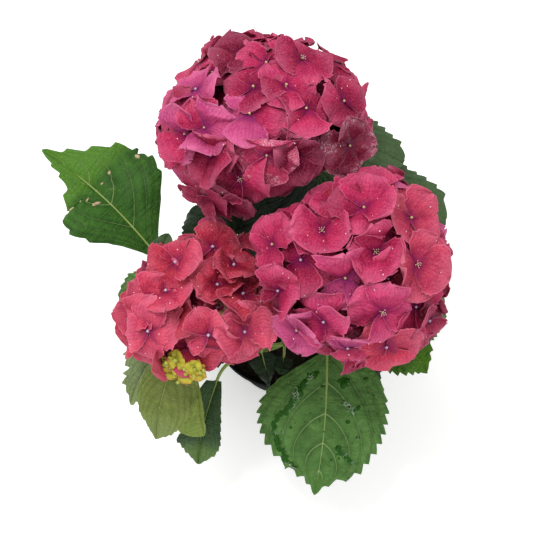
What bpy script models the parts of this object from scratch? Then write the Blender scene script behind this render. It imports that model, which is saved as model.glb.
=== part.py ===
"""A potted mophead hydrangea: a plastic pot, its potting mix, a short woody stem, five shoots,
three flower heads and the large leaves, each a separate named solid.

Metres, +Z up. The origin is the centre of the pot's flat underside, and -Y is the plant's front.
Azimuths are degrees from +X towards +Y, tilts are degrees from +Z.
"""

import math
from collections import namedtuple

import bmesh
import bpy
import numpy as np
from mathutils import Matrix, Vector

GAP = 0.0003  # clearance between neighbouring solids

# --- driving dimensions ------------------------------------------------------------------
POT_HEIGHT = 0.115
POT_TOP_RADIUS = 0.062  # wall, just under the lip
POT_BASE_RADIUS = 0.0455
POT_WALL = 0.0016
POT_FLOOR = 0.0024
LIP_RADIUS = 0.065
LIP_DEPTH = 0.009
POT_SIDES = 36

MIX_DROP = 0.012  # potting mix level, below the lip
MIX_CROWN = 0.003  # how far the mix rises from the pot's wall to the stem

STEM_RADIUS = 0.0085
STEM_FLARE = 0.0125  # root flare, at the mix
STEM_HEIGHT = 0.018  # from the mix to the centre of the fork's knob
KNOB_RADIUS = 0.0105

NODE_SWELL = 1.22  # how much thicker a shoot is where its leaves stand
PETIOLE_RADIUS = 0.0021
BLADE_THICKNESS = 0.0014  # a hundredth of the longest blade
FLORET_THICKNESS = 0.0009
PEDICEL_RADIUS = 0.0011

MIX_LEVEL = POT_HEIGHT - MIX_DROP
KNOB_CENTRE = Vector((0, 0, MIX_LEVEL + MIX_CROWN + GAP + STEM_HEIGHT))

# --- how the plant is laid out -----------------------------------------------------------
# A head is a flattened dome about its centre: radius across, dome height above the centre along
# its axis, and hem below it. Its florets go down to the polar angle reach, spacing apart. Those in
# placed, and its buds, stand at an (azimuth, polar angle) in the head's own frame.
Head = namedtuple("Head", "centre axis radius dome hem reach floret_radius spacing core seed placed buds")
# A shoot leaves the knob at an azimuth and tilt and ends under its head, or at its own tip.
Shoot = namedtuple("Shoot", "azimuth tilt foot_radius tip_radius head tip")
# A leaf leaves its shoot at a fraction of the shoot's length. Its blade runs from base to tip,
# both given as (azimuth, reach, height); bow is how far the midrib arches above that chord.
Leaf = namedtuple("Leaf", "shoot along base tip width bow fold roll", defaults=(0,))


def unit(azimuth, tilt):
    """The direction at this azimuth, this far from +Z, both in degrees."""
    turn, lean = math.radians(azimuth), math.radians(tilt)
    return Vector((math.sin(lean) * math.cos(turn), math.sin(lean) * math.sin(turn), math.cos(lean)))


def place(azimuth, reach, height):
    """The point at this azimuth and reach from the pot's axis, this high."""
    turn = math.radians(azimuth)
    return Vector((reach * math.cos(turn), reach * math.sin(turn), height))


HEADS = {
    "flower_head_back": Head(
        centre=Vector((-0.0154, 0.0997, 0.300)), axis=(100, 20), radius=0.0805, dome=0.065, hem=0.050,
        reach=116, floret_radius=0.0245, spacing=0.0342, core=0.62, seed=11,
        placed=(
            (263, 36), (274, 58), (263, 20), (306, 24), (4, 23), (324, 5), (308, 40), (340, 52), (323, 72),
            (290, 62), (232, 49), (218, 59), (241, 62), (137, 13), (236, 98), (249, 102), (199, 37), (20, 45),
        ),
        buds=()),
    "flower_head_right": Head(
        centre=Vector((0.0515, -0.0140, 0.290)), axis=(-62, 16), radius=0.0760, dome=0.058, hem=0.038,
        reach=112, floret_radius=0.0245, spacing=0.0342, core=0.62, seed=23,
        placed=(
            (99, 27), (150, 30), (69, 4), (356, 24), (46, 35), (181, 37), (215, 17), (282, 27), (234, 42),
            (259, 53), (226, 63), (316, 14), (319, 39), (170, 58), (286, 55), (321, 57),
        ),
        buds=()),
    "flower_head_left": Head(
        centre=Vector((-0.0665, -0.0301, 0.252)), axis=(222, 14), radius=0.0635, dome=0.042, hem=0.028,
        reach=106, floret_radius=0.0245, spacing=0.0355, core=0.52, seed=5,
        placed=(
            (104, 23), (62, 40), (34, 42), (161, 13), (20, 24), (2, 41), (221, 34), (301, 31), (328, 49),
            (189, 24), (346, 69),
        ),
        buds=((262, 62), (275, 70), (252, 72), (286, 62))),
}

SHOOTS = {
    "shoot_back": Shoot(95, 46, 0.0044, 0.0036, "flower_head_back", None),
    "shoot_right": Shoot(-22, 46, 0.0042, 0.0034, "flower_head_right", None),
    "shoot_left": Shoot(205, 46, 0.0040, 0.0032, "flower_head_left", None),
    "shoot_side": Shoot(160, 60, 0.0034, 0.0022, None, Vector((-0.0860, 0.0240, 0.1800))),
    "shoot_front": Shoot(-88, 50, 0.0034, 0.0022, None, Vector((0.0028, -0.0370, 0.163))),
}

LEAVES = {
    # shoot_back's three pairs
    "leaf_back_low_left": Leaf("shoot_back", 0.34, (128, 0.07, 0.172), (134, 0.122, 0.16), 0.064, 0.006, 12),
    "leaf_back_low_right": Leaf("shoot_back", 0.34, (75, 0.124, 0.186), (26, 0.166, 0.162), 0.09, 0.008, 10),
    "leaf_gap": Leaf("shoot_back", 0.48, (92, 0.044, 0.194), (105, 0.075, 0.246), 0.07, 0.004, 8),
    "leaf_behind": Leaf("shoot_back", 0.48, (96, 0.1, 0.2), (98, 0.205, 0.15), 0.098, 0.01, 12),
    "leaf_back_high_left": Leaf(
        "shoot_back", 0.84, (106, 0.154, 0.226), (125, 0.173, 0.196), 0.066, 0.006, 14),
    "leaf_back_high_right": Leaf(
        "shoot_back", 0.78, (82, 0.144, 0.226), (47, 0.158, 0.204), 0.072, 0.008, 10),
    # shoot_right's three nodes
    "leaf_right_low_front": Leaf(
        "shoot_right", 0.34, (-36, 0.058, 0.156), (-46, 0.112, 0.11), 0.06, 0.006, 14),
    "leaf_right_low_back": Leaf("shoot_right", 0.34, (22, 0.055, 0.16), (30, 0.138, 0.124), 0.08, 0.008, 14),
    "leaf_right_outer": Leaf("shoot_right", 0.6, (-6, 0.078, 0.196), (0, 0.144, 0.16), 0.078, 0.008, 12),
    "leaf_right_high_front": Leaf(
        "shoot_right", 0.84, (-24, 0.081, 0.222), (-30, 0.139, 0.188), 0.06, 0.005, 12),
    "leaf_right_high_back": Leaf(
        "shoot_right", 0.84, (37, 0.064, 0.226), (47, 0.116, 0.215), 0.05, 0.005, 12),
    # shoot_left's three nodes, the upper two with pale young leaves
    "leaf_left_low_front": Leaf(
        "shoot_left", 0.4, (-150, 0.054, 0.15), (-150, 0.094, 0.12), 0.04, 0.004, 14),
    "leaf_left_low_back": Leaf(
        "shoot_left", 0.4, (176, 0.052, 0.142), (174, 0.118, 0.108), 0.048, 0.006, 14),
    "leaf_left_serrated": Leaf(
        "shoot_left", 0.58, (-156, 0.11, 0.186), (-146, 0.158, 0.15), 0.052, 0.005, 16),
    "leaf_left_bright": Leaf(
        "shoot_left", 0.66, (-139, 0.099, 0.172), (-121, 0.131, 0.13), 0.032, 0.004, 12),
    "leaf_left_pale": Leaf("shoot_left", 0.88, (-147, 0.102, 0.202), (-132, 0.16, 0.152), 0.064, 0.006, 16),
    # the short side shoot, without flowers
    "leaf_side": Leaf("shoot_side", 0.86, (162, 0.116, 0.192), (149, 0.248, 0.205), 0.104, 0.01, 12),
    "leaf_side_low": Leaf("shoot_side", 0.86, (178, 0.1, 0.176), (-174, 0.143, 0.15), 0.06, 0.005, 14),
    "leaf_side_tip": Leaf("shoot_side", 0.95, (169, 0.108, 0.2), (154, 0.108, 0.208), 0.024, 0.003, 14),
    # the front shoot, without flowers
    "leaf_front": Leaf("shoot_front", 0.8, (-50, 0.06, 0.168), (-80, 0.163, 0.108), 0.114, 0.012, 6),
    "leaf_front_left": Leaf(
        "shoot_front", 0.8, (-130, 0.087, 0.152), (-120, 0.151, 0.092), 0.056, 0.006, 26, -18),
    "leaf_front_low": Leaf("shoot_front", 0.93, (-111, 0.049, 0.164), (-99, 0.07, 0.134), 0.04, 0.004, 16),
    "leaf_front_tip": Leaf("shoot_front", 0.93, (-89, 0.055, 0.182), (-91, 0.069, 0.18), 0.016, 0.002, 20),
}

COLOURS = {
    "black_plastic": ((0.012, 0.012, 0.013), 0.45),
    "potting_mix": ((0.035, 0.020, 0.012), 0.95),
    "bark": ((0.130, 0.080, 0.040), 0.85),
    "green_stem": ((0.120, 0.220, 0.060), 0.55),
    "leaf": ((0.045, 0.130, 0.035), 0.50),
    "petals": ((0.520, 0.045, 0.150), 0.60),
}

GOLDEN_ANGLE = math.pi * (3 - math.sqrt(5))
UPWARD = 0.4  # how much a floret low on its head turns up to the light


# --- helpers -----------------------------------------------------------------------------
def material(name):
    """The named Principled material, made once."""
    found = bpy.data.materials.get(name)
    if found:
        return found
    colour, roughness = COLOURS[name]
    made = bpy.data.materials.new(name)
    made.use_nodes = True
    shader = made.node_tree.nodes["Principled BSDF"]
    shader.inputs["Base Color"].default_value = (*colour, 1)
    shader.inputs["Roughness"].default_value = roughness
    made.diffuse_color = (*colour, 1)
    return made


def add(name, mesh, finish):
    """A new object of this mesh, in the scene, with its material."""
    mesh.name = name
    mesh.materials.clear()
    mesh.materials.append(material(finish))
    made = bpy.data.objects.new(name, mesh)
    bpy.context.scene.collection.objects.link(made)
    return made


def evaluated_mesh(piece):
    """A free mesh of the object as its modifiers leave it."""
    bpy.context.view_layer.update()
    graph = bpy.context.evaluated_depsgraph_get()
    return bpy.data.meshes.new_from_object(piece.evaluated_get(graph))


def baked(piece):
    """The object with its modifiers applied."""
    mesh = evaluated_mesh(piece)
    piece.modifiers.clear()
    piece.data = mesh
    return piece


def outward(mesh):
    """Coincident corners made one, every face turned to look out, and round sides shaded smooth."""
    shape = bmesh.new()
    shape.from_mesh(mesh)
    bmesh.ops.remove_doubles(shape, verts=shape.verts, dist=1e-6)
    bmesh.ops.recalc_face_normals(shape, faces=shape.faces)
    shape.to_mesh(mesh)
    shape.free()
    mesh.shade_smooth()
    mesh.set_sharp_from_angle(angle=math.radians(40))


def turned(name, profile, sides, finish):
    """A profile of (radius, height) points, turned about +Z."""
    mesh = bpy.data.meshes.new(name)
    corners = [(radius, 0, height) for radius, height in profile]
    mesh.from_pydata(corners, [(i, i + 1) for i in range(len(corners) - 1)], [])
    made = add(name, mesh, finish)
    screw = made.modifiers.new("turn", "SCREW")
    screw.steps = screw.render_steps = sides
    screw.use_merge_vertices = True
    screw.merge_threshold = 0.0001
    baked(made)
    outward(made.data)
    return made


def limb(name, points, radii, resolution, finish):
    """One tapering limb along the points, with flat ends: a bevelled curve made a mesh."""
    curve = bpy.data.curves.new(name, "CURVE")
    curve.dimensions = "3D"
    curve.bevel_depth = 1.0
    curve.bevel_resolution = resolution
    curve.use_fill_caps = True
    spline = curve.splines.new("POLY")
    spline.points.add(len(points) - 1)
    for knot, point, radius in zip(spline.points, points, radii):
        knot.co = (*point, 1)
        knot.radius = radius
    guide = bpy.data.objects.new(name + "_line", curve)
    bpy.context.scene.collection.objects.link(guide)
    mesh = evaluated_mesh(guide)
    bpy.data.objects.remove(guide)
    outward(mesh)
    return add(name, mesh, finish)


def keep_outer_shell(mesh):
    """Leaves the shell with the largest box, so that sealed hollows are filled and scraps dropped."""
    shape = bmesh.new()
    shape.from_mesh(mesh)
    left, shells = set(shape.verts), []
    while left:
        shell, edge = set(), [left.pop()]
        while edge:
            corner = edge.pop()
            shell.add(corner)
            joined = {e.other_vert(corner) for e in corner.link_edges} & left
            left -= joined
            edge.extend(joined)
        shells.append(shell)

    def extent(shell):
        places = np.array([corner.co for corner in shell])
        return float(np.prod(np.ptp(places, axis=0)))

    shells.sort(key=extent)
    spare = [corner for shell in shells[:-1] for corner in shell]
    bmesh.ops.delete(shape, geom=spare, context="VERTS")
    shape.to_mesh(mesh)
    shape.free()


def fuse(body, pieces, solver, operation="UNION"):
    """One solid: a Boolean of the pieces, held in a collection, onto the body. The pieces go."""
    group = bpy.data.collections.new(body.name + "_pieces")
    for piece in pieces:
        group.objects.link(piece)
    joint = body.modifiers.new("joint", "BOOLEAN")
    joint.operand_type = "COLLECTION"
    joint.collection = group
    joint.operation = operation
    joint.solver = solver
    baked(body)
    for piece in pieces:
        bpy.data.objects.remove(piece)
    bpy.data.collections.remove(group)
    keep_outer_shell(body.data)
    return body


def bezier(start, first, second, end, t):
    """A point of a cubic curve."""
    s = 1 - t
    return start * s**3 + first * 3 * s * s * t + second * 3 * s * t * t + end * t**3


# --- pot, mix and woody stem -------------------------------------------------------------
def pot_wall_radius(height):
    """Outer radius of the tapered wall."""
    return POT_BASE_RADIUS + (POT_TOP_RADIUS - POT_BASE_RADIUS) * height / (POT_HEIGHT - LIP_DEPTH)


def make_pot():
    step = POT_HEIGHT - LIP_DEPTH
    soft = 0.0012  # rounding of the lip's edges
    profile = [
        (0, 0),
        (POT_BASE_RADIUS - soft, 0),
        (POT_BASE_RADIUS, soft),
        (POT_TOP_RADIUS, step),
        (LIP_RADIUS, step + soft),
        (LIP_RADIUS, POT_HEIGHT - soft),
        (LIP_RADIUS - soft, POT_HEIGHT),
        (POT_TOP_RADIUS + soft - POT_WALL, POT_HEIGHT),
        (POT_TOP_RADIUS - POT_WALL, step - soft),
        (pot_wall_radius(POT_FLOOR) - POT_WALL, POT_FLOOR),
        (0, POT_FLOOR),
    ]
    return turned("pot", profile, POT_SIDES, "black_plastic")


def make_mix():
    """Potting mix that fills the pot, a little proud at the stem, with a flat seat under it."""
    inside = POT_WALL + 2 * GAP
    foot, brim = POT_FLOOR + GAP, MIX_LEVEL
    seat = STEM_FLARE + 0.002
    profile = [
        (0, foot),
        (pot_wall_radius(foot) - inside, foot),
        (pot_wall_radius(brim) - inside, brim - 0.001),
        (POT_TOP_RADIUS * 0.80, brim + 0.001),
        (seat, MIX_LEVEL + MIX_CROWN),
        (0, MIX_LEVEL + MIX_CROWN),
    ]
    return turned("potting_mix", profile, POT_SIDES, "potting_mix")


def make_stem():
    """The short woody stem: flared at the mix, with a rounded knob that the shoots grow from."""
    foot = MIX_LEVEL + MIX_CROWN + GAP
    waist = foot + STEM_HEIGHT * 0.45
    profile = [(0, foot), (STEM_FLARE, foot), (STEM_RADIUS * 1.12, foot + 0.003), (STEM_RADIUS, waist)]
    for step in range(6):
        lift = math.radians(-42 + 132 * step / 5)
        profile.append((KNOB_RADIUS * math.cos(lift) if step < 5 else 0,
                        KNOB_CENTRE.z + KNOB_RADIUS * math.sin(lift)))
    return turned("woody_stem", profile, 16, "bark")


# --- shoots ------------------------------------------------------------------------------
def head_foot(head):
    """Where a head's own stalk begins, under its dome."""
    return head.centre - unit(*head.axis) * (head.hem + 0.012)


def shoot_curve(shoot):
    """The four control points of a shoot's line."""
    out = unit(shoot.azimuth, shoot.tilt)
    start = KNOB_CENTRE + out * (KNOB_RADIUS + GAP)
    if shoot.head:
        head = HEADS[shoot.head]
        end, arrive = head_foot(head), unit(*head.axis)
    else:
        end, arrive = shoot.tip, unit(shoot.azimuth, 8)
    reach = (end - start).length
    return start, start + out * reach * 0.36, end - arrive * reach * 0.36, end


def shoot_point(name, along):
    """A point on the shoot's line, its direction there and its radius."""
    shoot = SHOOTS[name]
    curve = shoot_curve(shoot)
    point = bezier(*curve, along)
    ahead = bezier(*curve, min(along + 0.01, 1.0)) - bezier(*curve, along - 0.01)
    return point, ahead.normalized(), shoot.foot_radius + (shoot.tip_radius - shoot.foot_radius) * along


def make_shoot(name, grown=0.0):
    """A tapering green shoot, thickened where leaves stand. Grown, it is the sleeve that cuts their
    petioles back to just clear of it."""
    nodes = sorted({leaf.along for leaf in LEAVES.values() if leaf.shoot == name})
    stops = sorted(set(np.linspace(0, 1, 9)) | {n + d for n in nodes for d in (-0.04, 0, 0.04) if n + d < 1})
    points, radii = [], []
    for along in stops:
        _, _, radius = shoot_point(name, min(max(along, 0.01), 0.99))
        points.append(bezier(*shoot_curve(SHOOTS[name]), along))
        radii.append(radius * (NODE_SWELL if along in nodes else 1.0) + grown)
    return limb(name, points, radii, 2, "green_stem")


# --- leaves ------------------------------------------------------------------------------
def blade_width(v):
    """Half the blade's width at v along it, as a share of the widest: round base, drawn-out tip."""
    return (v / 0.4) ** 0.6 * ((1 - v) / 0.6) ** 0.9


def midrib_curve(leaf):
    """The blade's midrib as start, middle and end of a quadratic curve, and its up direction."""
    base, tip = place(*leaf.base), place(*leaf.tip)
    chord = (tip - base).normalized()
    side = chord.cross(Vector((0, 0, 1))).normalized()
    up = Matrix.Rotation(math.radians(leaf.roll), 3, chord) @ side.cross(chord)
    return base, (base + tip) / 2 + up * leaf.bow * 2, tip, up


def midrib_point(leaf, v):
    """A point of the midrib, with the directions along it, across it and out of the blade."""
    base, middle, tip, up = midrib_curve(leaf)
    point = base * (1 - v) ** 2 + middle * 2 * v * (1 - v) + tip * v * v
    along = ((middle - base) * (1 - v) + (tip - middle) * v).normalized()
    across = along.cross(up).normalized()
    return point, along, across, across.cross(along)


def make_blade(name, leaf):
    """The blade: a sheet of rows across the midrib, folded up along it, with a true thickness."""
    rows, columns = 6, (-1, -0.55, 0, 0.55, 1)
    corners = []
    for row in range(rows):
        v = 0.015 + 0.975 * row / (rows - 1)
        point, _, across, out = midrib_point(leaf, v)
        half = leaf.width / 2 * blade_width(v)
        for u in columns:
            rise = abs(u) * half * math.sin(math.radians(leaf.fold))
            corners.append(point + across * u * half * math.cos(math.radians(leaf.fold)) + out * rise)
    across = len(columns)
    faces = [
        (row * across + k, row * across + k + 1, (row + 1) * across + k + 1, (row + 1) * across + k)
        for row in range(rows - 1)
        for k in range(across - 1)
    ]
    mesh = bpy.data.meshes.new(name)
    mesh.from_pydata([tuple(corner) for corner in corners], [], faces)
    blade = add(name, mesh, "leaf")
    thick = blade.modifiers.new("thickness", "SOLIDIFY")
    thick.thickness = BLADE_THICKNESS
    thick.offset = 0
    return baked(blade)


def make_leaf(name):
    """A leaf: its blade, fused to one tapering petiole that runs on under it as the midrib. The
    petiole starts inside the shoot and is then cut back to just clear of it."""
    leaf = LEAVES[name]
    thick = PETIOLE_RADIUS * min(1.0, 0.45 + leaf.width / 0.15)
    start, axis, _ = shoot_point(leaf.shoot, leaf.along)
    base, along, _, _ = midrib_point(leaf, 0)
    out = base - start
    reach = out.length
    out = ((out - axis * out.dot(axis)).normalized() + axis * 0.35).normalized()
    first, second = start + out * reach * 0.4, base - along * reach * 0.4
    points = [bezier(start, first, second, base, t) for t in (0, 0.25, 0.5, 0.75)]
    radii = [thick * share for share in (1.15, 1.0, 0.9, 0.88)]
    for v, share in ((0.04, 0.8), (0.35, 0.5)):
        point, _, _, up = midrib_point(leaf, v)
        points.append(point - up * 0.0002)
        radii.append(thick * share)
    rib = limb(name + "_petiole", points, radii, 0, "leaf")
    whole = fuse(make_blade(name, leaf), [rib], "EXACT")
    return fuse(whole, [make_shoot(leaf.shoot, GAP)], "EXACT", "DIFFERENCE")


# --- flower heads ------------------------------------------------------------------------
def head_frame(head):
    """A matrix from the head's own frame, with +Z its axis, to the plant's."""
    turn = Matrix.Rotation(math.radians(head.axis[0]), 4, "Z")
    lean = Matrix.Rotation(math.radians(head.axis[1]), 4, "Y")
    return Matrix.Translation(head.centre) @ turn @ lean @ turn.inverted()


def dome_point(head, azimuth, polar, share=1.0):
    """A point of the dome and its outward normal, in the head's own frame. Angles in radians."""
    half = head.dome if polar < math.pi / 2 else head.hem
    ring, rise = math.sin(polar), math.cos(polar)
    point = Vector((ring * math.cos(azimuth), ring * math.sin(azimuth), 0)) * head.radius
    point.z = half * rise
    normal = Vector((point.x / head.radius**2, point.y / head.radius**2, point.z / half**2)).normalized()
    return point * share, normal


def floret_places(head):
    """(azimuth, polar) of each floret in radians: the placed ones, then a golden spiral's points that
    stand spacing clear of every one before them."""
    polar = np.linspace(0, math.radians(head.reach), 200)
    half = np.where(polar < math.pi / 2, head.dome, head.hem)
    area = np.sin(polar) * np.sqrt((half * np.sin(polar)) ** 2 + (head.radius * np.cos(polar)) ** 2)
    total = np.cumsum(area)
    wanted = [(math.radians(a), math.radians(p)) for a, p in head.placed]
    for i, p in enumerate(np.interp((np.arange(600) + 0.5) / 600 * total[-1], total, polar)):
        wanted.append((i * GOLDEN_ANGLE, float(p)))
    kept, stands = [], [dome_point(head, *math_pair(bud))[0] for bud in head.buds]
    for i, (azimuth, polar_angle) in enumerate(wanted):
        point, _ = dome_point(head, azimuth, polar_angle)
        if i < len(head.placed) or all((point - other).length > head.spacing for other in stands):
            kept.append((azimuth, polar_angle))
            stands.append(point)
    return kept


def math_pair(degrees):
    """An (azimuth, polar angle) pair in radians."""
    return math.radians(degrees[0]), math.radians(degrees[1])


def star(radius):
    """A floret's outline in its own plane: four broad tips on the axes, a notch between each two."""
    corners = [Vector((0, 0, -radius * 0.12))]
    for k in range(8):
        reach, drop = (radius * 0.70, radius * 0.06) if k % 2 else (radius, 0)
        corners.append(Vector((reach * math.cos(k * math.pi / 4), reach * math.sin(k * math.pi / 4), -drop)))
    return corners


def make_floret(name, corners):
    """Four broad sepals as one thin, slightly cupped plate with these corners, the middle first."""
    mesh = bpy.data.meshes.new(name)
    sectors = [(0, k + 1, (k + 1) % 8 + 1) for k in range(8)]
    mesh.from_pydata([tuple(corner) for corner in corners], [], sectors)
    plate = add(name, mesh, "petals")
    thick = plate.modifiers.new("thickness", "SOLIDIFY")
    thick.thickness = FLORET_THICKNESS
    thick.offset = 0
    return baked(plate)


def extent(head, towards):
    """How far the head's dome reaches in this direction from its centre."""
    local = head_frame(head).to_3x3().inverted() @ towards
    half = head.dome if local.z > 0 else head.hem
    return math.sqrt((head.radius * local.x) ** 2 + (head.radius * local.y) ** 2 + (half * local.z) ** 2)


def borders(name):
    """The planes between this head and its neighbours, each as a point and the way out of this head.
    The planes share the distance between two centres as the two domes' reaches do."""
    head, planes = HEADS[name], []
    for other_name, other in HEADS.items():
        if other_name == name:
            continue
        across = other.centre - head.centre
        out = across.normalized()
        mine, theirs = extent(head, out), extent(other, -out)
        planes.append((head.centre + across * mine / (mine + theirs), out))
    return planes


def floret_outlines(name):
    """Each floret's corners on the plant. A seeded sway, spin, size and depth make no two alike, and a
    floret that would pass the border with a neighbouring head is moved back by as much."""
    head = HEADS[name]
    world = head_frame(head)
    up = world.to_3x3().inverted() @ Vector((0, 0, 1))
    dice = np.random.default_rng(head.seed)
    outlines = []
    for azimuth, polar in floret_places(head):
        point, normal = dome_point(head, azimuth, polar)
        lift = up * UPWARD * math.sin(polar) ** 2
        facing = (normal + lift + Vector(dice.normal(0, 0.14, 3))).normalized()
        radius = head.floret_radius * dice.uniform(0.92, 1.06)
        spin = Matrix.Rotation(dice.uniform(0, math.pi / 2), 4, "Z")
        turn = facing.to_track_quat("Z", "Y").to_matrix().to_4x4() @ spin
        frame = world @ Matrix.Translation(point - normal * dice.uniform(0.003, 0.008)) @ turn
        corners = [frame @ corner for corner in star(radius)]
        for border, out in borders(name):
            excess = max((corner - border).dot(out) for corner in corners) + 2 * FLORET_THICKNESS
            if excess > 0:
                corners = [corner - out * excess for corner in corners]
        outlines.append(corners)
    return outlines


def make_head(name):
    """A flower head: a smaller core on its stalk, with a floret on a pedicel for each place."""
    head = HEADS[name]
    world = head_frame(head)
    shape = bmesh.new()
    bmesh.ops.create_uvsphere(shape, u_segments=10, v_segments=6, radius=head.core)
    for corner in shape.verts:
        half = head.hem if corner.co.z < 0 else head.dome
        corner.co = (corner.co.x * head.radius, corner.co.y * head.radius, corner.co.z * half)
    mesh = bpy.data.meshes.new(name)
    shape.to_mesh(mesh)
    shape.free()
    mesh.transform(world)
    core = add(name, mesh, "petals")
    foot = head_foot(head) + unit(*head.axis) * 2 * GAP
    pieces = [limb(name + "_stalk", [foot, head.centre], [0.0034, 0.0050], 1, "green_stem")]
    for n, corners in enumerate(floret_outlines(name)):
        pieces.append(make_floret(f"{name}_floret_{n}", corners))
        inner = head.centre + (corners[0] - head.centre) * head.core * 0.75
        pieces.append(limb(f"{name}_pedicel_{n}", [inner, corners[0]], [PEDICEL_RADIUS] * 2, 0, "petals"))
    for n, bud in enumerate(head.buds):
        point, _ = dome_point(head, *math_pair(bud))
        inner = world @ (point * head.core * 0.75)
        knob = [world @ (point * share) for share in (0.93, 0.97, 1.02)]
        pieces.append(limb(f"{name}_bud_{n}", [inner, *knob], [0.0011, 0.0011, 0.0055, 0.0030], 0, "petals"))
    return fuse(core, pieces, "MANIFOLD")


def main():
    for old in list(bpy.data.objects):
        bpy.data.objects.remove(old)
    make_pot()
    make_mix()
    make_stem()
    for name in LEAVES:
        make_leaf(name)
    for name in SHOOTS:
        make_shoot(name)
    for name in HEADS:
        make_head(name)


main()
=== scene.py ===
# %% [markdown]
# # A potted mophead hydrangea
# This lesson dresses the plain solids of a potted hydrangea: three flower heads, 23 leaves, five
# shoots and a short woody stem in a black nursery pot. Everything new is a surface worked out with
# numpy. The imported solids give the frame, so a piece goes exactly where its solid stands.

# %% Load the frame
import math
from collections import namedtuple

import bpy
import numpy as np
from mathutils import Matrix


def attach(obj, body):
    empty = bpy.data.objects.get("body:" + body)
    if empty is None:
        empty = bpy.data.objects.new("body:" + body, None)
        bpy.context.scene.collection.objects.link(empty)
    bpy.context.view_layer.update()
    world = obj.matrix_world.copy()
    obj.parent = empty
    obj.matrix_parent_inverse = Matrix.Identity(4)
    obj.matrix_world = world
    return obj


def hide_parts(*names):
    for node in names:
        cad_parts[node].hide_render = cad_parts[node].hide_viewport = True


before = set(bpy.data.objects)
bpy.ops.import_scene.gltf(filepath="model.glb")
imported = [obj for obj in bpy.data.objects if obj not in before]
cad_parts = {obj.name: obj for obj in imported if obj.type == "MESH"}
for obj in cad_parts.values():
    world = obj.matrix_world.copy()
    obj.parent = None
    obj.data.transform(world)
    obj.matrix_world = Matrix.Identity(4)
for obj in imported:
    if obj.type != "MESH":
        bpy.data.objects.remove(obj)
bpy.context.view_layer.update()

# %% [markdown]
# ## The light table
# The plant stands on a plain pale floor. A wide soft lamp overhead gives the shine on wet leaves
# and the shade inside the heads; a pale world fills the rest. The camera looks steeply down.

# %% Colours, floor, light and camera
MM = 0.001
UP = np.array([0.0, 0.0, 1.0])


def linear(code, alpha=1.0):
    """The linear colour of an sRGB hex code: each channel is c/12.92 below 0.04045, else
    ((c + 0.055) / 1.055) to the power 2.4."""
    channels = np.array([int(code[i:i + 2], 16) for i in (1, 3, 5)]) / 255
    low, high = channels / 12.92, ((channels + 0.055) / 1.055) ** 2.4
    return (*np.where(channels <= 0.04045, low, high).tolist(), alpha)


def blend(first, second, share):
    """The hex colour this share of the way from the first to the second."""
    pairs = [(int(first[i:i + 2], 16), int(second[i:i + 2], 16)) for i in (1, 3, 5)]
    return "#" + "".join(f"{round(a + (b - a) * share):02X}" for a, b in pairs)


def feed(node, inputs):
    """Sets a node's inputs, by name or number, or in their order from a list. Each is a value, an
    output to link, or a node, meaning its first output in use."""
    for key, value in inputs.items() if isinstance(inputs, dict) else enumerate(inputs):
        if isinstance(value, bpy.types.Node):
            value = next(output for output in value.outputs if output.enabled)
        if isinstance(value, bpy.types.NodeSocket):
            node.id_data.links.new(value, node.inputs[key])
        else:
            node.inputs[key].default_value = value
    return node


def add_node(tree, kind, settings, inputs):
    """Adds a shader node of this kind with its settings, and feeds its inputs."""
    made = tree.nodes.new("ShaderNode" + kind)
    for key, value in settings.items():
        setattr(made, key, value)
    return feed(made, inputs)


SMOOTH = {"interpolation_type": "SMOOTHSTEP"}  # Map Range: value, from min, from max, to min, to max
RGBA = {"data_type": "RGBA"}  # Mix: 0 is the share of the second colour, 6 and 7 are the colours


def finish(name, colour, **sockets):
    """A Principled material of one base colour, with the given sockets set on the shader itself."""
    made = bpy.data.materials.new(name)
    made.use_nodes = True
    shader = made.node_tree.nodes["Principled BSDF"]
    shader.inputs["Base Color"].default_value = linear(colour)
    for socket, value in sockets.items():
        shader.inputs[socket.replace("_", " ")].default_value = value
    made.diffuse_color = linear(colour)
    return made


def mottled(skin, first, second, noise, bump=None, mode="MIX"):
    """The finish, wandering from one colour to a second by a noise on Object coordinates, whose
    Scale is in features a metre. bump is the strength and depth in metres of a relief by the same
    noise. In the mode MULTIPLY the second colour shades the first."""
    tree = skin.node_tree
    place = add_node(tree, "TexCoord", {}, {}).outputs["Object"]
    wander = add_node(tree, "TexNoise", {}, {"Vector": place, **noise})
    mixed = add_node(tree, "Mix", {**RGBA, "blend_type": mode}, {
        0: wander, 6: linear(first), 7: linear(second)})
    feed(tree.nodes["Principled BSDF"], {"Base Color": mixed})
    if bump:
        relief = add_node(tree, "Bump", {}, {"Height": wander, "Strength": bump[0], "Distance": bump[1]})
        feed(tree.nodes["Principled BSDF"], {"Normal": relief})
    return skin


FLOOR_SIDE = 4.0
corner = FLOOR_SIDE / 2
floor_mesh = bpy.data.meshes.new("floor")
floor_mesh.from_pydata(
    [(-corner, -corner, 0), (corner, -corner, 0), (corner, corner, 0), (-corner, corner, 0)],
    [], [(0, 1, 2, 3)])
# A white table that glows a little, so the plant's shade on it stays pale.
floor_mesh.materials.append(finish(
    "pale_floor", "#F7F7F6", Roughness=0.9, Emission_Color=linear("#FFFFFF"), Emission_Strength=0.3))
floor = bpy.data.objects.new("floor", floor_mesh)
bpy.context.scene.collection.objects.link(floor)

world = bpy.data.worlds.new("pale_room")
world.use_nodes = True
world.node_tree.nodes["Background"].inputs["Color"].default_value = linear("#FFFFFF")
world.node_tree.nodes["Background"].inputs["Strength"].default_value = 0.85
bpy.context.scene.world = world
bpy.context.scene.view_settings.view_transform = "Standard"


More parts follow.
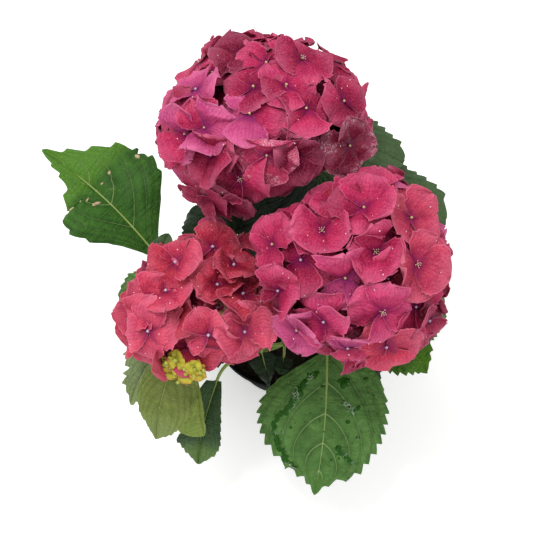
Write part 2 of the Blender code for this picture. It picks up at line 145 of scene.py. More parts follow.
def soft_lamp(name, place, target, side, watts):
    """A square area lamp at a place, turned to face the target."""
    data = bpy.data.lights.new(name, "AREA")
    data.size = side
    data.energy = watts
    made = bpy.data.objects.new(name, data)
    towards = np.array(target) - np.array(place)
    made.location = place
    tilt, turn = math.acos(-towards[2] / np.linalg.norm(towards)), math.atan2(towards[1], towards[0])
    made.rotation_euler = (tilt, 0, turn - math.pi / 2)
    bpy.context.scene.collection.objects.link(made)
    return made


HEART = (0.0, 0.0, 0.2)  # the middle of the plant, where the lamps point
soft_lamp("overhead", (-0.5, 0.45, 1.7), HEART, 0.8, 10)
soft_lamp("sparkle", (-0.30, 0.10, 1.9), HEART, 0.12, 4)
soft_lamp("front_fill", (0.9, -1.1, 1.3), HEART, 1.4, 2)

PICTURE_SIDE, FOCAL_PIXELS = 533, 937
SENSOR = 36.0  # millimetres
CAMERA_PLACE = (-0.01346318, -0.25262377, 0.94888713)
CAMERA_TILT = 20.0  # degrees from straight down
camera_data = bpy.data.cameras.new("camera")
camera_data.sensor_width = SENSOR
camera_data.lens = SENSOR * FOCAL_PIXELS / PICTURE_SIDE
camera_data.clip_start = 0.01
camera = bpy.data.objects.new("camera", camera_data)
camera.location = CAMERA_PLACE
camera.rotation_euler = (math.radians(CAMERA_TILT), 0, 0)
bpy.context.scene.collection.objects.link(camera)
bpy.context.scene.camera = camera

# %% [markdown]
# ## From arrays to pieces
# A leaf or a sepal is a grid of points, a shoot is a ring of points carried along a path, and a
# crumb is one small ball stamped many times. A few helpers work those out, and one puts the arrays
# into a mesh. A thin sheet gets an upper side, an under side and a rim, so it is a closed solid.


# %% Mesh helpers
def unit(vectors):
    """The vectors at length one."""
    return vectors / np.maximum(np.linalg.norm(vectors, axis=-1, keepdims=True), 1e-12)


def full_turn(steps):
    """Equal steps right round, in radians."""
    return np.arange(steps) * 2 * math.pi / steps


def circled(radius, turn, height):
    """Points this far from the Z axis, at this turn about it and this high."""
    return np.stack(np.broadcast_arrays(radius * np.cos(turn), radius * np.sin(turn), height), -1)


def belts(rows, sides):
    """Faces of rows of points that go right round: the bands between the rows, and the first and
    last row as flat ends."""
    order = np.arange(rows * sides).reshape(rows, sides)
    after = np.roll(order, -1, axis=1)
    bands = np.stack([order[:-1], after[:-1], after[1:], order[1:]], -1).reshape(-1, 4)
    return bands, np.stack([order[0, ::-1], order[-1]])


def piece(name, points, faces, finishes, wears=None, maps=None, sharp=50):
    """An object at the origin. faces is a list of arrays, each of faces with the same number of
    corners; wears gives each face's finish by number, and maps each UV map's place by corner."""
    loops = np.concatenate([f.ravel() for f in faces]).astype(np.int32)
    sizes = np.concatenate([np.full(len(f), f.shape[1]) for f in faces])
    mesh = bpy.data.meshes.new(name)
    mesh.vertices.add(len(points))
    mesh.vertices.foreach_set("co", np.asarray(points, np.float32).ravel())
    mesh.loops.add(len(loops))
    mesh.loops.foreach_set("vertex_index", loops)
    mesh.polygons.add(len(sizes))
    mesh.polygons.foreach_set("loop_start", (np.cumsum(sizes) - sizes).astype(np.int32))
    if wears is not None:
        mesh.polygons.foreach_set("material_index", np.asarray(wears, np.int32))
    mesh.update(calc_edges=True)
    for map_name, places in (maps or {}).items():
        layer = mesh.uv_layers.new(name=map_name)
        layer.uv.foreach_set("vector", np.asarray(places, np.float32).ravel())
    mesh.shade_smooth()
    mesh.set_sharp_from_angle(angle=math.radians(sharp))
    for material in finishes:
        mesh.materials.append(material)
    made = bpy.data.objects.new(name, mesh)
    bpy.context.scene.collection.objects.link(made)
    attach(made, "root")
    triangles = int((sizes - 2).sum())
    print(f"{name}: {len(points)} points, {triangles} triangles")
    return made


def sheet(middle, thickness):
    """A thin solid about each middle surface, given as an array (sheets, rows, columns, 3). A point
    moves out by half the thickness along the cross product of the surface's two directions.
    Returns the points and the upper, under and rim faces, the last three as (sheets, faces, 4)."""
    count, rows, columns, _ = middle.shape
    out = unit(np.cross(np.gradient(middle, axis=2), np.gradient(middle, axis=1)))
    half = out * thickness / 2
    points = np.stack([middle + half, middle - half], 1).reshape(-1, 3)
    order = np.arange(rows * columns).reshape(rows, columns)
    upper = np.stack([order[:-1, :-1], order[:-1, 1:], order[1:, 1:], order[1:, :-1]], -1).reshape(-1, 4)
    under = upper[:, ::-1] + rows * columns
    edge = np.concatenate([order[0, :-1], order[:-1, -1], order[-1, :0:-1], order[:0:-1, 0]])
    ahead = np.roll(edge, -1)
    rim = np.stack([edge, edge + rows * columns, ahead + rows * columns, ahead], -1)
    shift = (np.arange(count) * 2 * rows * columns)[:, None, None]
    return points, upper + shift, under + shift, rim + shift


def tubes(paths, radii, sides):
    """Rings about each path, given as (tubes, steps, 3): a ring's point is the path's point plus the
    radius times cos(turn) and sin(turn) along two directions square to the path. Flat-ended."""
    count, steps, _ = paths.shape
    ahead = unit(np.gradient(paths, axis=1))
    steady = np.eye(3)[np.argmin(np.abs(ahead).max(1), axis=1)][:, None]
    first = unit(np.cross(ahead, steady))
    second = np.cross(ahead, first)
    turn = full_turn(sides)
    ring = np.cos(turn)[:, None] * first[:, :, None] + np.sin(turn)[:, None] * second[:, :, None]
    points = paths[:, :, None] + ring * np.broadcast_to(radii, (count, steps))[..., None, None]
    walls, ends = belts(steps, sides)
    shift = (np.arange(count) * steps * sides)[:, None, None]
    return points.reshape(-1, 3), (walls + shift).reshape(-1, 4), (ends + shift).reshape(-1, sides)


def ball(sides, rings):
    """A unit ball: points and faces of its bands, with a fan at each pole."""
    lift = np.linspace(-math.pi / 2, math.pi / 2, rings + 2)[1:-1, None]
    belt = circled(np.cos(lift), full_turn(sides), np.sin(lift))
    points = np.concatenate([belt.reshape(-1, 3), [[0, 0, -1], [0, 0, 1]]])
    bands, (_, top) = belts(rings, sides)
    foot = np.arange(sides)
    below = np.stack([np.roll(foot, -1), foot, np.full(sides, rings * sides)], -1)
    above = np.stack([top, np.roll(top, -1), np.full(sides, rings * sides + 1)], -1)
    return points, bands, np.concatenate([below, above])


def stamped(shape, frames, places):
    """Copies of a (points, quads, triangles) shape, each turned and scaled by its own 3 by 3 frame
    and moved to its place."""
    points, quads, triangles = shape
    points = points if points.ndim == 3 else points[None]
    moved = np.einsum("npk,nkj->npj", np.broadcast_to(points, (len(places), *points.shape[1:])), frames)
    shift = (np.arange(len(places)) * points.shape[1])[:, None, None]
    return (
        (moved + places[:, None]).reshape(-1, 3),
        (quads + shift).reshape(-1, 4), (triangles + shift).reshape(-1, 3))


def frames_along(ahead):
    """Rows x, y, z of a frame for each direction, with z along it."""
    steady = np.where(np.abs(ahead[:, 2:]) < 0.9, UP, np.array([1.0, 0, 0]))
    first = unit(np.cross(steady, ahead))
    return np.stack([first, np.cross(ahead, first), ahead], 1)


def bezier(controls, t):
    """Points of cubic curves. controls is (curves, 4, 3): the four points weighted by (1-t)^3,
    3t(1-t)^2, 3t^2(1-t) and t^3."""
    t = np.asarray(t)[None, :, None]
    a, b, c, d = (controls[:, None, k] for k in range(4))
    return a * (1 - t) ** 3 + b * 3 * t * (1 - t) ** 2 + c * 3 * t * t * (1 - t) + d * t ** 3


# %% [markdown]
# ## The pot
# A thin nursery pot of black polypropylene, blown or moulded in one shot: a tapered wall, a
# stepped lip with soft edges, a raised foot ring and shallow grip ribs. It is one profile turned
# about the axis, so the wall has an inside as well. The ribs press the outer wall in a little.

# %% Pot
POT_HEIGHT, POT_TOP_RADIUS, POT_BASE_RADIUS = 0.115, 0.062, 0.0455
POT_WALL, POT_FLOOR, LIP_RADIUS, LIP_DEPTH = 0.0016, 0.0024, 0.065, 0.009
POT_HOLE = 0.012  # radius of the flat middle of the base, where the profile begins and ends
POT_TURNS = 144
RIBS, RIB_DEPTH, RIBS_FROM, RIBS_TO = 24, 0.0005, 0.010, 0.060


def rounded(profile, reach, steps=4):
    """The profile with each inner corner replaced by a small arc: a quadratic curve that starts
    and ends the reach away from the corner."""
    points = [np.array(profile[0], float)]
    for before, at, after in zip(profile, profile[1:], profile[2:]):
        before, at, after = (np.array(p, float) for p in (before, at, after))
        start = at + unit(before - at) * min(reach, np.linalg.norm(before - at) * 0.45)
        end = at + unit(after - at) * min(reach, np.linalg.norm(after - at) * 0.45)
        for t in np.linspace(0, 1, steps):
            points.append(start * (1 - t) ** 2 + at * 2 * t * (1 - t) + end * t * t)
    points.append(np.array(profile[-1], float))
    return np.array(points)


def wall_radius(height):
    """Outer radius of the tapered wall."""
    return POT_BASE_RADIUS + (POT_TOP_RADIUS - POT_BASE_RADIUS) * height / (POT_HEIGHT - LIP_DEPTH)


step = POT_HEIGHT - LIP_DEPTH
outline = rounded([
    (POT_HOLE, 0.0016), (POT_BASE_RADIUS - 0.0045, 0.0016), (POT_BASE_RADIUS - 0.0038, 0.0),
    (POT_BASE_RADIUS, 0.0), (wall_radius(0.012), 0.012), (wall_radius(0.056), 0.056),
    (wall_radius(step), step - 0.0008), (LIP_RADIUS, step), (LIP_RADIUS, POT_HEIGHT),
    (POT_TOP_RADIUS - 0.0004, POT_HEIGHT), (POT_TOP_RADIUS - POT_WALL, step - 0.002),
    (wall_radius(POT_FLOOR) - POT_WALL, POT_FLOOR), (POT_HOLE, POT_FLOOR)], 0.0009)
turn = full_turn(POT_TURNS)
ring_radius, ring_height = outline[:, :1] * np.ones(POT_TURNS), outline[:, 1]
outside = outline[:, 0] >= wall_radius(ring_height) - 1e-4
ribbed = outside & (ring_height > RIBS_FROM) & (ring_height < RIBS_TO)
ring_radius -= ribbed[:, None] * RIB_DEPTH * np.clip(np.cos(RIBS * turn), 0, 1)[None] ** 2
pot_points = circled(ring_radius, turn, ring_height[:, None])

# Black polypropylene: a soft satin black, greyer where dust and handling have dulled it.
black_plastic = finish("black_polypropylene", "#0B0B0C", Roughness=0.7, Specular_IOR_Level=0.02)
tree = black_plastic.node_tree
place = add_node(tree, "TexCoord", {}, {}).outputs["Object"]
dust = add_node(tree, "TexNoise", {}, {"Vector": place, "Scale": 55.0, "Detail": 4.0})
dull = add_node(tree, "MapRange", {}, [dust, 0.35, 0.75, 0.60, 0.78])
skin = add_node(tree, "Mix", RGBA, {0: dust, 6: linear("#060607"), 7: linear("#121314")})
grain = add_node(tree, "TexNoise", {}, {"Vector": place, "Scale": 900.0})
relief = add_node(tree, "Bump", {}, {"Height": grain, "Strength": 0.25, "Distance": 0.0001})
feed(tree.nodes["Principled BSDF"], {"Base Color": skin, "Roughness": dull, "Normal": relief})

pot = piece(
    "nursery_pot", pot_points.reshape(-1, 3), belts(len(outline), POT_TURNS), [black_plastic], sharp=40)
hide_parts("pot")

# %% [markdown]
# ## The potting mix
# Damp peat and composted bark. A rippled disc fills the pot, and a scatter of crumbs and bark
# chips lies on it. The crumbs are one rough ball, stamped with its own dents each time; their
# browns are plain colours dealt out crumb by crumb.

# %% Potting mix and crumbs
MIX_DROP, MIX_CROWN, GAP = 0.012, 0.003, 0.0003
MIX_LEVEL = POT_HEIGHT - MIX_DROP
dice = np.random.default_rng(71)
MIX_RINGS, MIX_TURNS = 26, 72
share = np.linspace(0.02, 1, MIX_RINGS)[:, None]
turn = full_turn(MIX_TURNS)
mix_edge = wall_radius(MIX_LEVEL) - POT_WALL - 2 * GAP
ripple = 0.0010 * np.sin(9 * share + 3 * turn) + dice.normal(0, 0.0005, (MIX_RINGS, MIX_TURNS))
top_height = MIX_LEVEL - 0.001 + (MIX_CROWN + 0.001) * (1 - share ** 2) + ripple * (share > 0.1)
mix_top = circled(share * mix_edge, turn, top_height)
mix_foot = circled(wall_radius(POT_FLOOR) - POT_WALL - 2 * GAP, turn, POT_FLOOR + GAP)
mix_points = np.concatenate([mix_foot[None], mix_top[::-1]])

# Damp peat: nearly black brown, matt, with a crumb of 1 to 2 mm.
peat = mottled(
    finish("damp_peat", "#33241A", Roughness=0.95), "#0C0806", "#34261B",
    {"Scale": 420.0, "Detail": 5.0, "Roughness": 0.7}, bump=(0.9, 0.0008))
mix = piece("potting_mix_bed", mix_points.reshape(-1, 3), belts(len(mix_points), MIX_TURNS), [peat])
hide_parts("potting_mix")

CRUMBS = 1500
shape = ball(6, 3)
dents = shape[0] * dice.uniform(0.62, 1.15, (CRUMBS, len(shape[0]), 1))
spots = np.sqrt(dice.uniform(0.05, 1, CRUMBS)) * (mix_edge - 0.0035)
around = dice.uniform(0, 2 * math.pi, CRUMBS)
size = dice.uniform(0.0006, 0.0019, CRUMBS)
stretch = np.stack([
    size * dice.uniform(0.8, 2.0, CRUMBS), size, size * dice.uniform(0.5, 0.9, CRUMBS)], -1)
heap = MIX_LEVEL + (MIX_CROWN + 0.001) * (1 - (spots / mix_edge) ** 2) - 0.0005
rest = circled(spots, around, heap)
spin = dice.uniform(0, 2 * math.pi, CRUMBS)
level = np.zeros((CRUMBS, 3, 3))
level[:, 0, 0], level[:, 0, 1] = np.cos(spin), np.sin(spin)
level[:, 1, 0], level[:, 1, 1], level[:, 2, 2] = -np.sin(spin), np.cos(spin), 1
points, quads, triangles = stamped((dents, *shape[1:]), stretch[:, :, None] * level, rest)
# Bark crumbs: dull browns, each darker in places.
browns = [
    mottled(finish(f"bark_crumb_{n}", code, Roughness=0.9), code, "#6E5A48",
            {"Scale": 900.0, "Detail": 3.0}, mode="MULTIPLY")
    for n, code in enumerate(("#120C09", "#281B12", "#3E2C1D", "#6E523A"))]
deal = dice.choice(len(browns), CRUMBS, p=[0.4, 0.32, 0.2, 0.08])
wears = np.concatenate([np.repeat(deal, len(shape[1])), np.repeat(deal, len(shape[2]))])
crumbs = piece("potting_mix_crumbs", points, [quads, triangles], browns, wears, sharp=80)

# %% [markdown]
# ## The woody stem
# The short stem at the soil is two years old: brown bark that peels in fine vertical strips, a
# flare at the foot and a rounded knob where the shoots break out. A turned profile gets its
# strips by pushing each point in and out with a few sine waves round the stem.

# %% Woody stem
STEM_RADIUS, STEM_FLARE, STEM_HEIGHT, KNOB_RADIUS = 0.0085, 0.0125, 0.018, 0.0105
foot = MIX_LEVEL + MIX_CROWN + GAP
KNOB_CENTRE = np.array([0, 0, foot + STEM_HEIGHT])
profile = [
    (STEM_FLARE, foot), (STEM_RADIUS * 1.12, foot + 0.003), (STEM_RADIUS, foot + STEM_HEIGHT * 0.45)]
profile += [
    (KNOB_RADIUS * math.cos(lift), KNOB_CENTRE[2] + KNOB_RADIUS * math.sin(lift))
    for lift in np.radians(np.linspace(-42, 84, 7))]
outline = rounded(profile, 0.003, 6)
BARK_TURNS, STRIP_DEPTH = 64, 0.00016
turn = full_turn(BARK_TURNS)
waves = np.sin(11 * turn + 2) + 0.7 * np.sin(19 * turn) + 0.5 * np.sin(31 * turn + 1)
strips = STRIP_DEPTH * waves[None] * np.sin(outline[:, 1:] * 700 + 3 * turn[None])
radius = outline[:, :1] + strips - 0.00012
bark_points = circled(radius, turn, outline[:, 1:])

# Papery shrub bark: tan and grey-brown strips, dry and matt.
bark = finish("papery_bark", "#7A5D40", Roughness=0.85)
tree = bark.node_tree
place = add_node(tree, "TexCoord", {}, {}).outputs["Object"]
drawn = add_node(tree, "Mapping", {}, {"Vector": place, "Scale": (1.0, 1.0, 0.15)})
strip = add_node(tree, "TexNoise", {}, {"Vector": drawn, "Scale": 700.0, "Detail": 4.0})
tan = add_node(tree, "Mix", RGBA, {0: strip, 6: linear("#4A3424"), 7: linear("#A58A66")})
relief = add_node(tree, "Bump", {}, {"Height": strip, "Strength": 0.7, "Distance": 0.0003})
feed(tree.nodes["Principled BSDF"], {"Base Color": tan, "Normal": relief})
stem = piece("woody_stem_bark", bark_points.reshape(-1, 3), belts(len(outline), BARK_TURNS), [bark])
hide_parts("woody_stem")

# %% [markdown]
# ## Where the heads and shoots stand
# The same rule and the same named sizes as the solids. A head is a flattened dome about its
# centre, leaning along its axis; a shoot leaves the knob and curves up to the foot of its head.

# %% Heads and shoots
Head = namedtuple("Head", "centre axis radius dome hem reach seed")
Shoot = namedtuple("Shoot", "azimuth tilt foot_radius tip_radius head tip")

HEADS = {name: Head(np.array(centre), *row) for name, centre, *row in (
    ("flower_head_back", [-0.0154, 0.0997, 0.300], (100, 20), 0.0805, 0.065, 0.050, 116, 11),
    ("flower_head_right", [0.0515, -0.0140, 0.290], (-62, 16), 0.0760, 0.058, 0.038, 112, 23),
    ("flower_head_left", [-0.0665, -0.0301, 0.252], (222, 14), 0.0635, 0.042, 0.028, 106, 5),
)}
SHOOTS = {
    "shoot_back": Shoot(95, 46, 0.0044, 0.0036, "flower_head_back", None),
    "shoot_right": Shoot(-22, 46, 0.0042, 0.0034, "flower_head_right", None),
    "shoot_left": Shoot(205, 46, 0.0040, 0.0032, "flower_head_left", None),
    "shoot_side": Shoot(160, 60, 0.0034, 0.0022, None, np.array([-0.0860, 0.0240, 0.1800])),
    "shoot_front": Shoot(-88, 50, 0.0034, 0.0022, None, np.array([0.0028, -0.0370, 0.163])),
}
NODE_SWELL, NODE_LENGTH = 1.22, 0.022  # at a pair of leaves: how thick, and over what share of the shoot
HEAD_STALK = 0.012  # how far below a dome its stalk begins
CURVE_PULL = 0.36  # how far the inner control points stand from the ends, as a share of the reach


def direction(azimuth, tilt):
    """The unit vector at this azimuth, this far from +Z, both in degrees."""
    turn, lean = math.radians(azimuth), math.radians(tilt)
    return np.array([math.sin(lean) * math.cos(turn), math.sin(lean) * math.sin(turn), math.cos(lean)])


def head_foot(head):
    """Where a head's own stalk begins, under its dome."""
    return head.centre - direction(*head.axis) * (head.hem + HEAD_STALK)


def shoot_curve(shoot):
    """The four control points of a shoot's line."""
    out = direction(shoot.azimuth, shoot.tilt)
    start = KNOB_CENTRE + out * (KNOB_RADIUS + GAP)
    if shoot.head:
        end, arrive = head_foot(HEADS[shoot.head]), direction(*HEADS[shoot.head].axis)
    else:
        end, arrive = shoot.tip, direction(shoot.azimuth, 8)
    reach = np.linalg.norm(end - start)
    return np.array([start, start + out * reach * CURVE_PULL, end - arrive * reach * CURVE_PULL, end])


def shoot_point(name, along):
    """A point on the shoot's line, its direction there and its radius."""
    shoot = SHOOTS[name]
    around = [along, min(along + 0.01, 1.0), along - 0.01]
    point, ahead, behind = bezier(shoot_curve(shoot)[None], around)[0]
    return point, unit(ahead - behind), shoot.foot_radius + (shoot.tip_radius - shoot.foot_radius) * along


# %% [markdown]
# ## The leaves' own sizes
# A leaf leaves its shoot at a fraction of the shoot's length, and its blade runs from base to tip,
# both given as (azimuth, reach, height). The midrib bows up between them and the blade folds up
# along it. The last columns are looks: which finish it wears, how many teeth a side has, how deep
# they are and how far its midrib swings sideways, both in millimetres.

# %% Leaf table
Leaf = namedtuple("Leaf", "shoot along base tip width bow fold roll wears teeth cut swing")
LEAVES = {name: Leaf(*row) for name, *row in (
    ("leaf_back_low_left", "shoot_back", 0.34,
     (128, 0.07, 0.172), (134, 0.122, 0.16), 0.064, 0.006, 12, 0, "deep", 11, 2.2, 1),
    ("leaf_back_low_right", "shoot_back", 0.34,
     (75, 0.124, 0.186), (26, 0.166, 0.162), 0.09, 0.008, 10, 0, "grey", 12, 3.0, 3),
    ("leaf_gap", "shoot_back", 0.48,
     (92, 0.044, 0.194), (105, 0.075, 0.246), 0.07, 0.004, 8, 0, "black", 9, 1.6, 0),
    ("leaf_behind", "shoot_back", 0.48,
     (96, 0.1, 0.2), (98, 0.205, 0.15), 0.098, 0.01, 12, 0, "grown", 14, 2.4, 4),
    ("leaf_back_high_left", "shoot_back", 0.84,
     (106, 0.154, 0.226), (125, 0.173, 0.196), 0.066, 0.006, 14, 0, "grown", 10, 2.2, -3),
    ("leaf_back_high_right", "shoot_back", 0.78,
     (82, 0.144, 0.226), (47, 0.158, 0.204), 0.072, 0.008, 10, 0, "grey", 11, 2.8, 3),
    ("leaf_right_low_front", "shoot_right", 0.34,
     (-36, 0.058, 0.156), (-46, 0.112, 0.11), 0.06, 0.006, 14, 0, "deep", 11, 2.0, 2),
    ("leaf_right_low_back", "shoot_right", 0.34,
     (22, 0.055, 0.16), (30, 0.138, 0.124), 0.08, 0.008, 14, 0, "grown", 12, 2.2, -4),
    ("leaf_right_outer", "shoot_right", 0.6,
     (-6, 0.078, 0.196), (0, 0.144, 0.16), 0.078, 0.008, 12, 0, "grown", 12, 2.2, 3),
    ("leaf_right_high_front", "shoot_right", 0.84,
     (-24, 0.081, 0.222), (-30, 0.139, 0.188), 0.06, 0.005, 12, 0, "fresh", 11, 3.0, -2),
    ("leaf_right_high_back", "shoot_right", 0.84,
     (37, 0.064, 0.226), (47, 0.116, 0.215), 0.05, 0.005, 12, 0, "grown", 9, 1.8, 2),
    ("leaf_left_low_front", "shoot_left", 0.4,
     (-150, 0.054, 0.15), (-150, 0.094, 0.12), 0.04, 0.004, 14, 0, "deep", 9, 1.8, 1),
    ("leaf_left_low_back", "shoot_left", 0.4,
     (176, 0.052, 0.142), (174, 0.118, 0.108), 0.048, 0.006, 14, 0, "deep", 10, 1.8, 2),
    ("leaf_left_serrated", "shoot_left", 0.58,
     (-156, 0.11, 0.186), (-146, 0.158, 0.15), 0.052, 0.005, 16, 0, "pale", 8, 4.2, 2),
    ("leaf_left_bright", "shoot_left", 0.66,
     (-139, 0.099, 0.172), (-121, 0.131, 0.13), 0.032, 0.004, 12, 0, "bright", 8, 1.0, 1),
    ("leaf_left_pale", "shoot_left", 0.88,
     (-147, 0.102, 0.202), (-132, 0.16, 0.152), 0.064, 0.006, 16, 0, "olive", 14, 0.9, 3),
    ("leaf_side", "shoot_side", 0.86,
     (162, 0.116, 0.192), (149, 0.248, 0.205), 0.104, 0.01, 12, 0, "lit", 9, 3.6, 4),
    ("leaf_side_low", "shoot_side", 0.86,
     (178, 0.1, 0.176), (-174, 0.143, 0.15), 0.06, 0.005, 14, 0, "grown", 9, 1.8, 2),
    ("leaf_side_tip", "shoot_side", 0.95,
     (169, 0.108, 0.2), (154, 0.108, 0.208), 0.024, 0.003, 14, 0, "grey", 5, 0.8, 0),
    ("leaf_front", "shoot_front", 0.8,
     (-50, 0.06, 0.168), (-80, 0.163, 0.108), 0.114, 0.012, 6, 0, "grown", 14, 4.4, -3),
    ("leaf_front_left", "shoot_front", 0.8,
     (-130, 0.087, 0.152), (-120, 0.151, 0.092), 0.056, 0.006, 26, -18, "blue", 12, 1.2, 4),
    ("leaf_front_low", "shoot_front", 0.93,
     (-111, 0.049, 0.164), (-99, 0.07, 0.134), 0.04, 0.004, 16, 0, "deep", 7, 1.0, 0),
    ("leaf_front_tip", "shoot_front", 0.93,
     (-89, 0.055, 0.182), (-91, 0.069, 0.18), 0.016, 0.002, 20, 0, "deep", 5, 0.6, 0),
)}
print(len(LEAVES), "leaves, widest", max(leaf.width for leaf in LEAVES.values()))

# %% [markdown]
# ## Shoots
# This year's shoots are green and sappy, round, a little ridged, with small brown pores
# (lenticels) and a swelling at each pair of leaves. A ring of points is carried along the shoot's
# line; the radius swells at the nodes and ripples with the ridges.

# %% Green shoots
# Sappy stem: light green, satin, with rust-brown pores about 1 mm long drawn along the stem.
green_stem = finish("sappy_green_stem", "#56702A", Roughness=0.45, Specular_IOR_Level=0.2)
tree = green_stem.node_tree
place = add_node(tree, "TexCoord", {}, {}).outputs["Object"]
shade = add_node(tree, "TexNoise", {}, {"Vector": place, "Scale": 60.0, "Detail": 3.0})
green = add_node(tree, "Mix", RGBA, {0: shade, 6: linear("#43601F"), 7: linear("#687F36")})
drawn = add_node(tree, "Mapping", {}, {"Vector": place, "Scale": (1.0, 1.0, 0.45)})
pore = add_node(tree, "TexVoronoi", {}, {"Vector": drawn, "Scale": 330.0})
spot = add_node(tree, "MapRange", {}, [pore, 0.14, 0.26, 0.75, 0.0])
speckled = add_node(tree, "Mix", RGBA, {0: spot, 6: green, 7: linear("#6B4A2B")})
relief = add_node(tree, "Bump", {}, {"Height": spot, "Strength": 0.4, "Distance": 0.0002})
feed(tree.nodes["Principled BSDF"], {"Base Color": speckled, "Normal": relief})

SHOOT_STEPS, SHOOT_SIDES = 90, 20
RIDGES, RIDGE_DEPTH = 6, 0.035  # round the stem, and a share of its radius
ridge = 1 + RIDGE_DEPTH * np.cos(RIDGES * np.tile(full_turn(SHOOT_SIDES), SHOOT_STEPS))
for name, shoot in SHOOTS.items():
    t = np.linspace(0, 1, SHOOT_STEPS)
    path = bezier(shoot_curve(shoot)[None], t)
    radius = shoot.foot_radius + (shoot.tip_radius - shoot.foot_radius) * t
    for along in {leaf.along for leaf in LEAVES.values() if leaf.shoot == name}:
        radius = radius * (1 + (NODE_SWELL - 1) * np.exp(-((t - along) / NODE_LENGTH) ** 2))
    points, *faces = tubes(path, radius[None], SHOOT_SIDES)
    centre = np.repeat(path[0], SHOOT_SIDES, axis=0)
    ridged = centre + (points - centre) * ridge[:, None]
    made = piece(name + "_skin", ridged, faces, [green_stem], sharp=60)
    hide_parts(name)

# %% [markdown]
# ## Leaf finishes
# A hydrangea leaf is a thick, slightly leathery sheet. From above it is glossy green with sunken
# pale veins: a midrib, a few strongly curved side veins, and a fine net between them. The
# vein pattern reads the leaf's own map, where one direction runs across the blade and the other
# along it, so it follows every fold. The under side is paler, greyer and matt.

# %% Leaf materials
SIDE_VEINS = 5  # pairs, counted along the whole blade
VEIN_RISE, VEIN_CURVE = 0.14, 0.60  # how far a side vein climbs by the margin, as shares of the length
TIMES, TIMES_PLUS = {"operation": "MULTIPLY"}, {"operation": "MULTIPLY_ADD"}  # Math: a b, and a b + c
FOLDED = {"operation": "PINGPONG"}  # Math: runs up to the second number and back
CELL_EDGES = {"feature": "DISTANCE_TO_EDGE"}  # Voronoi: nought along the edges of the cells


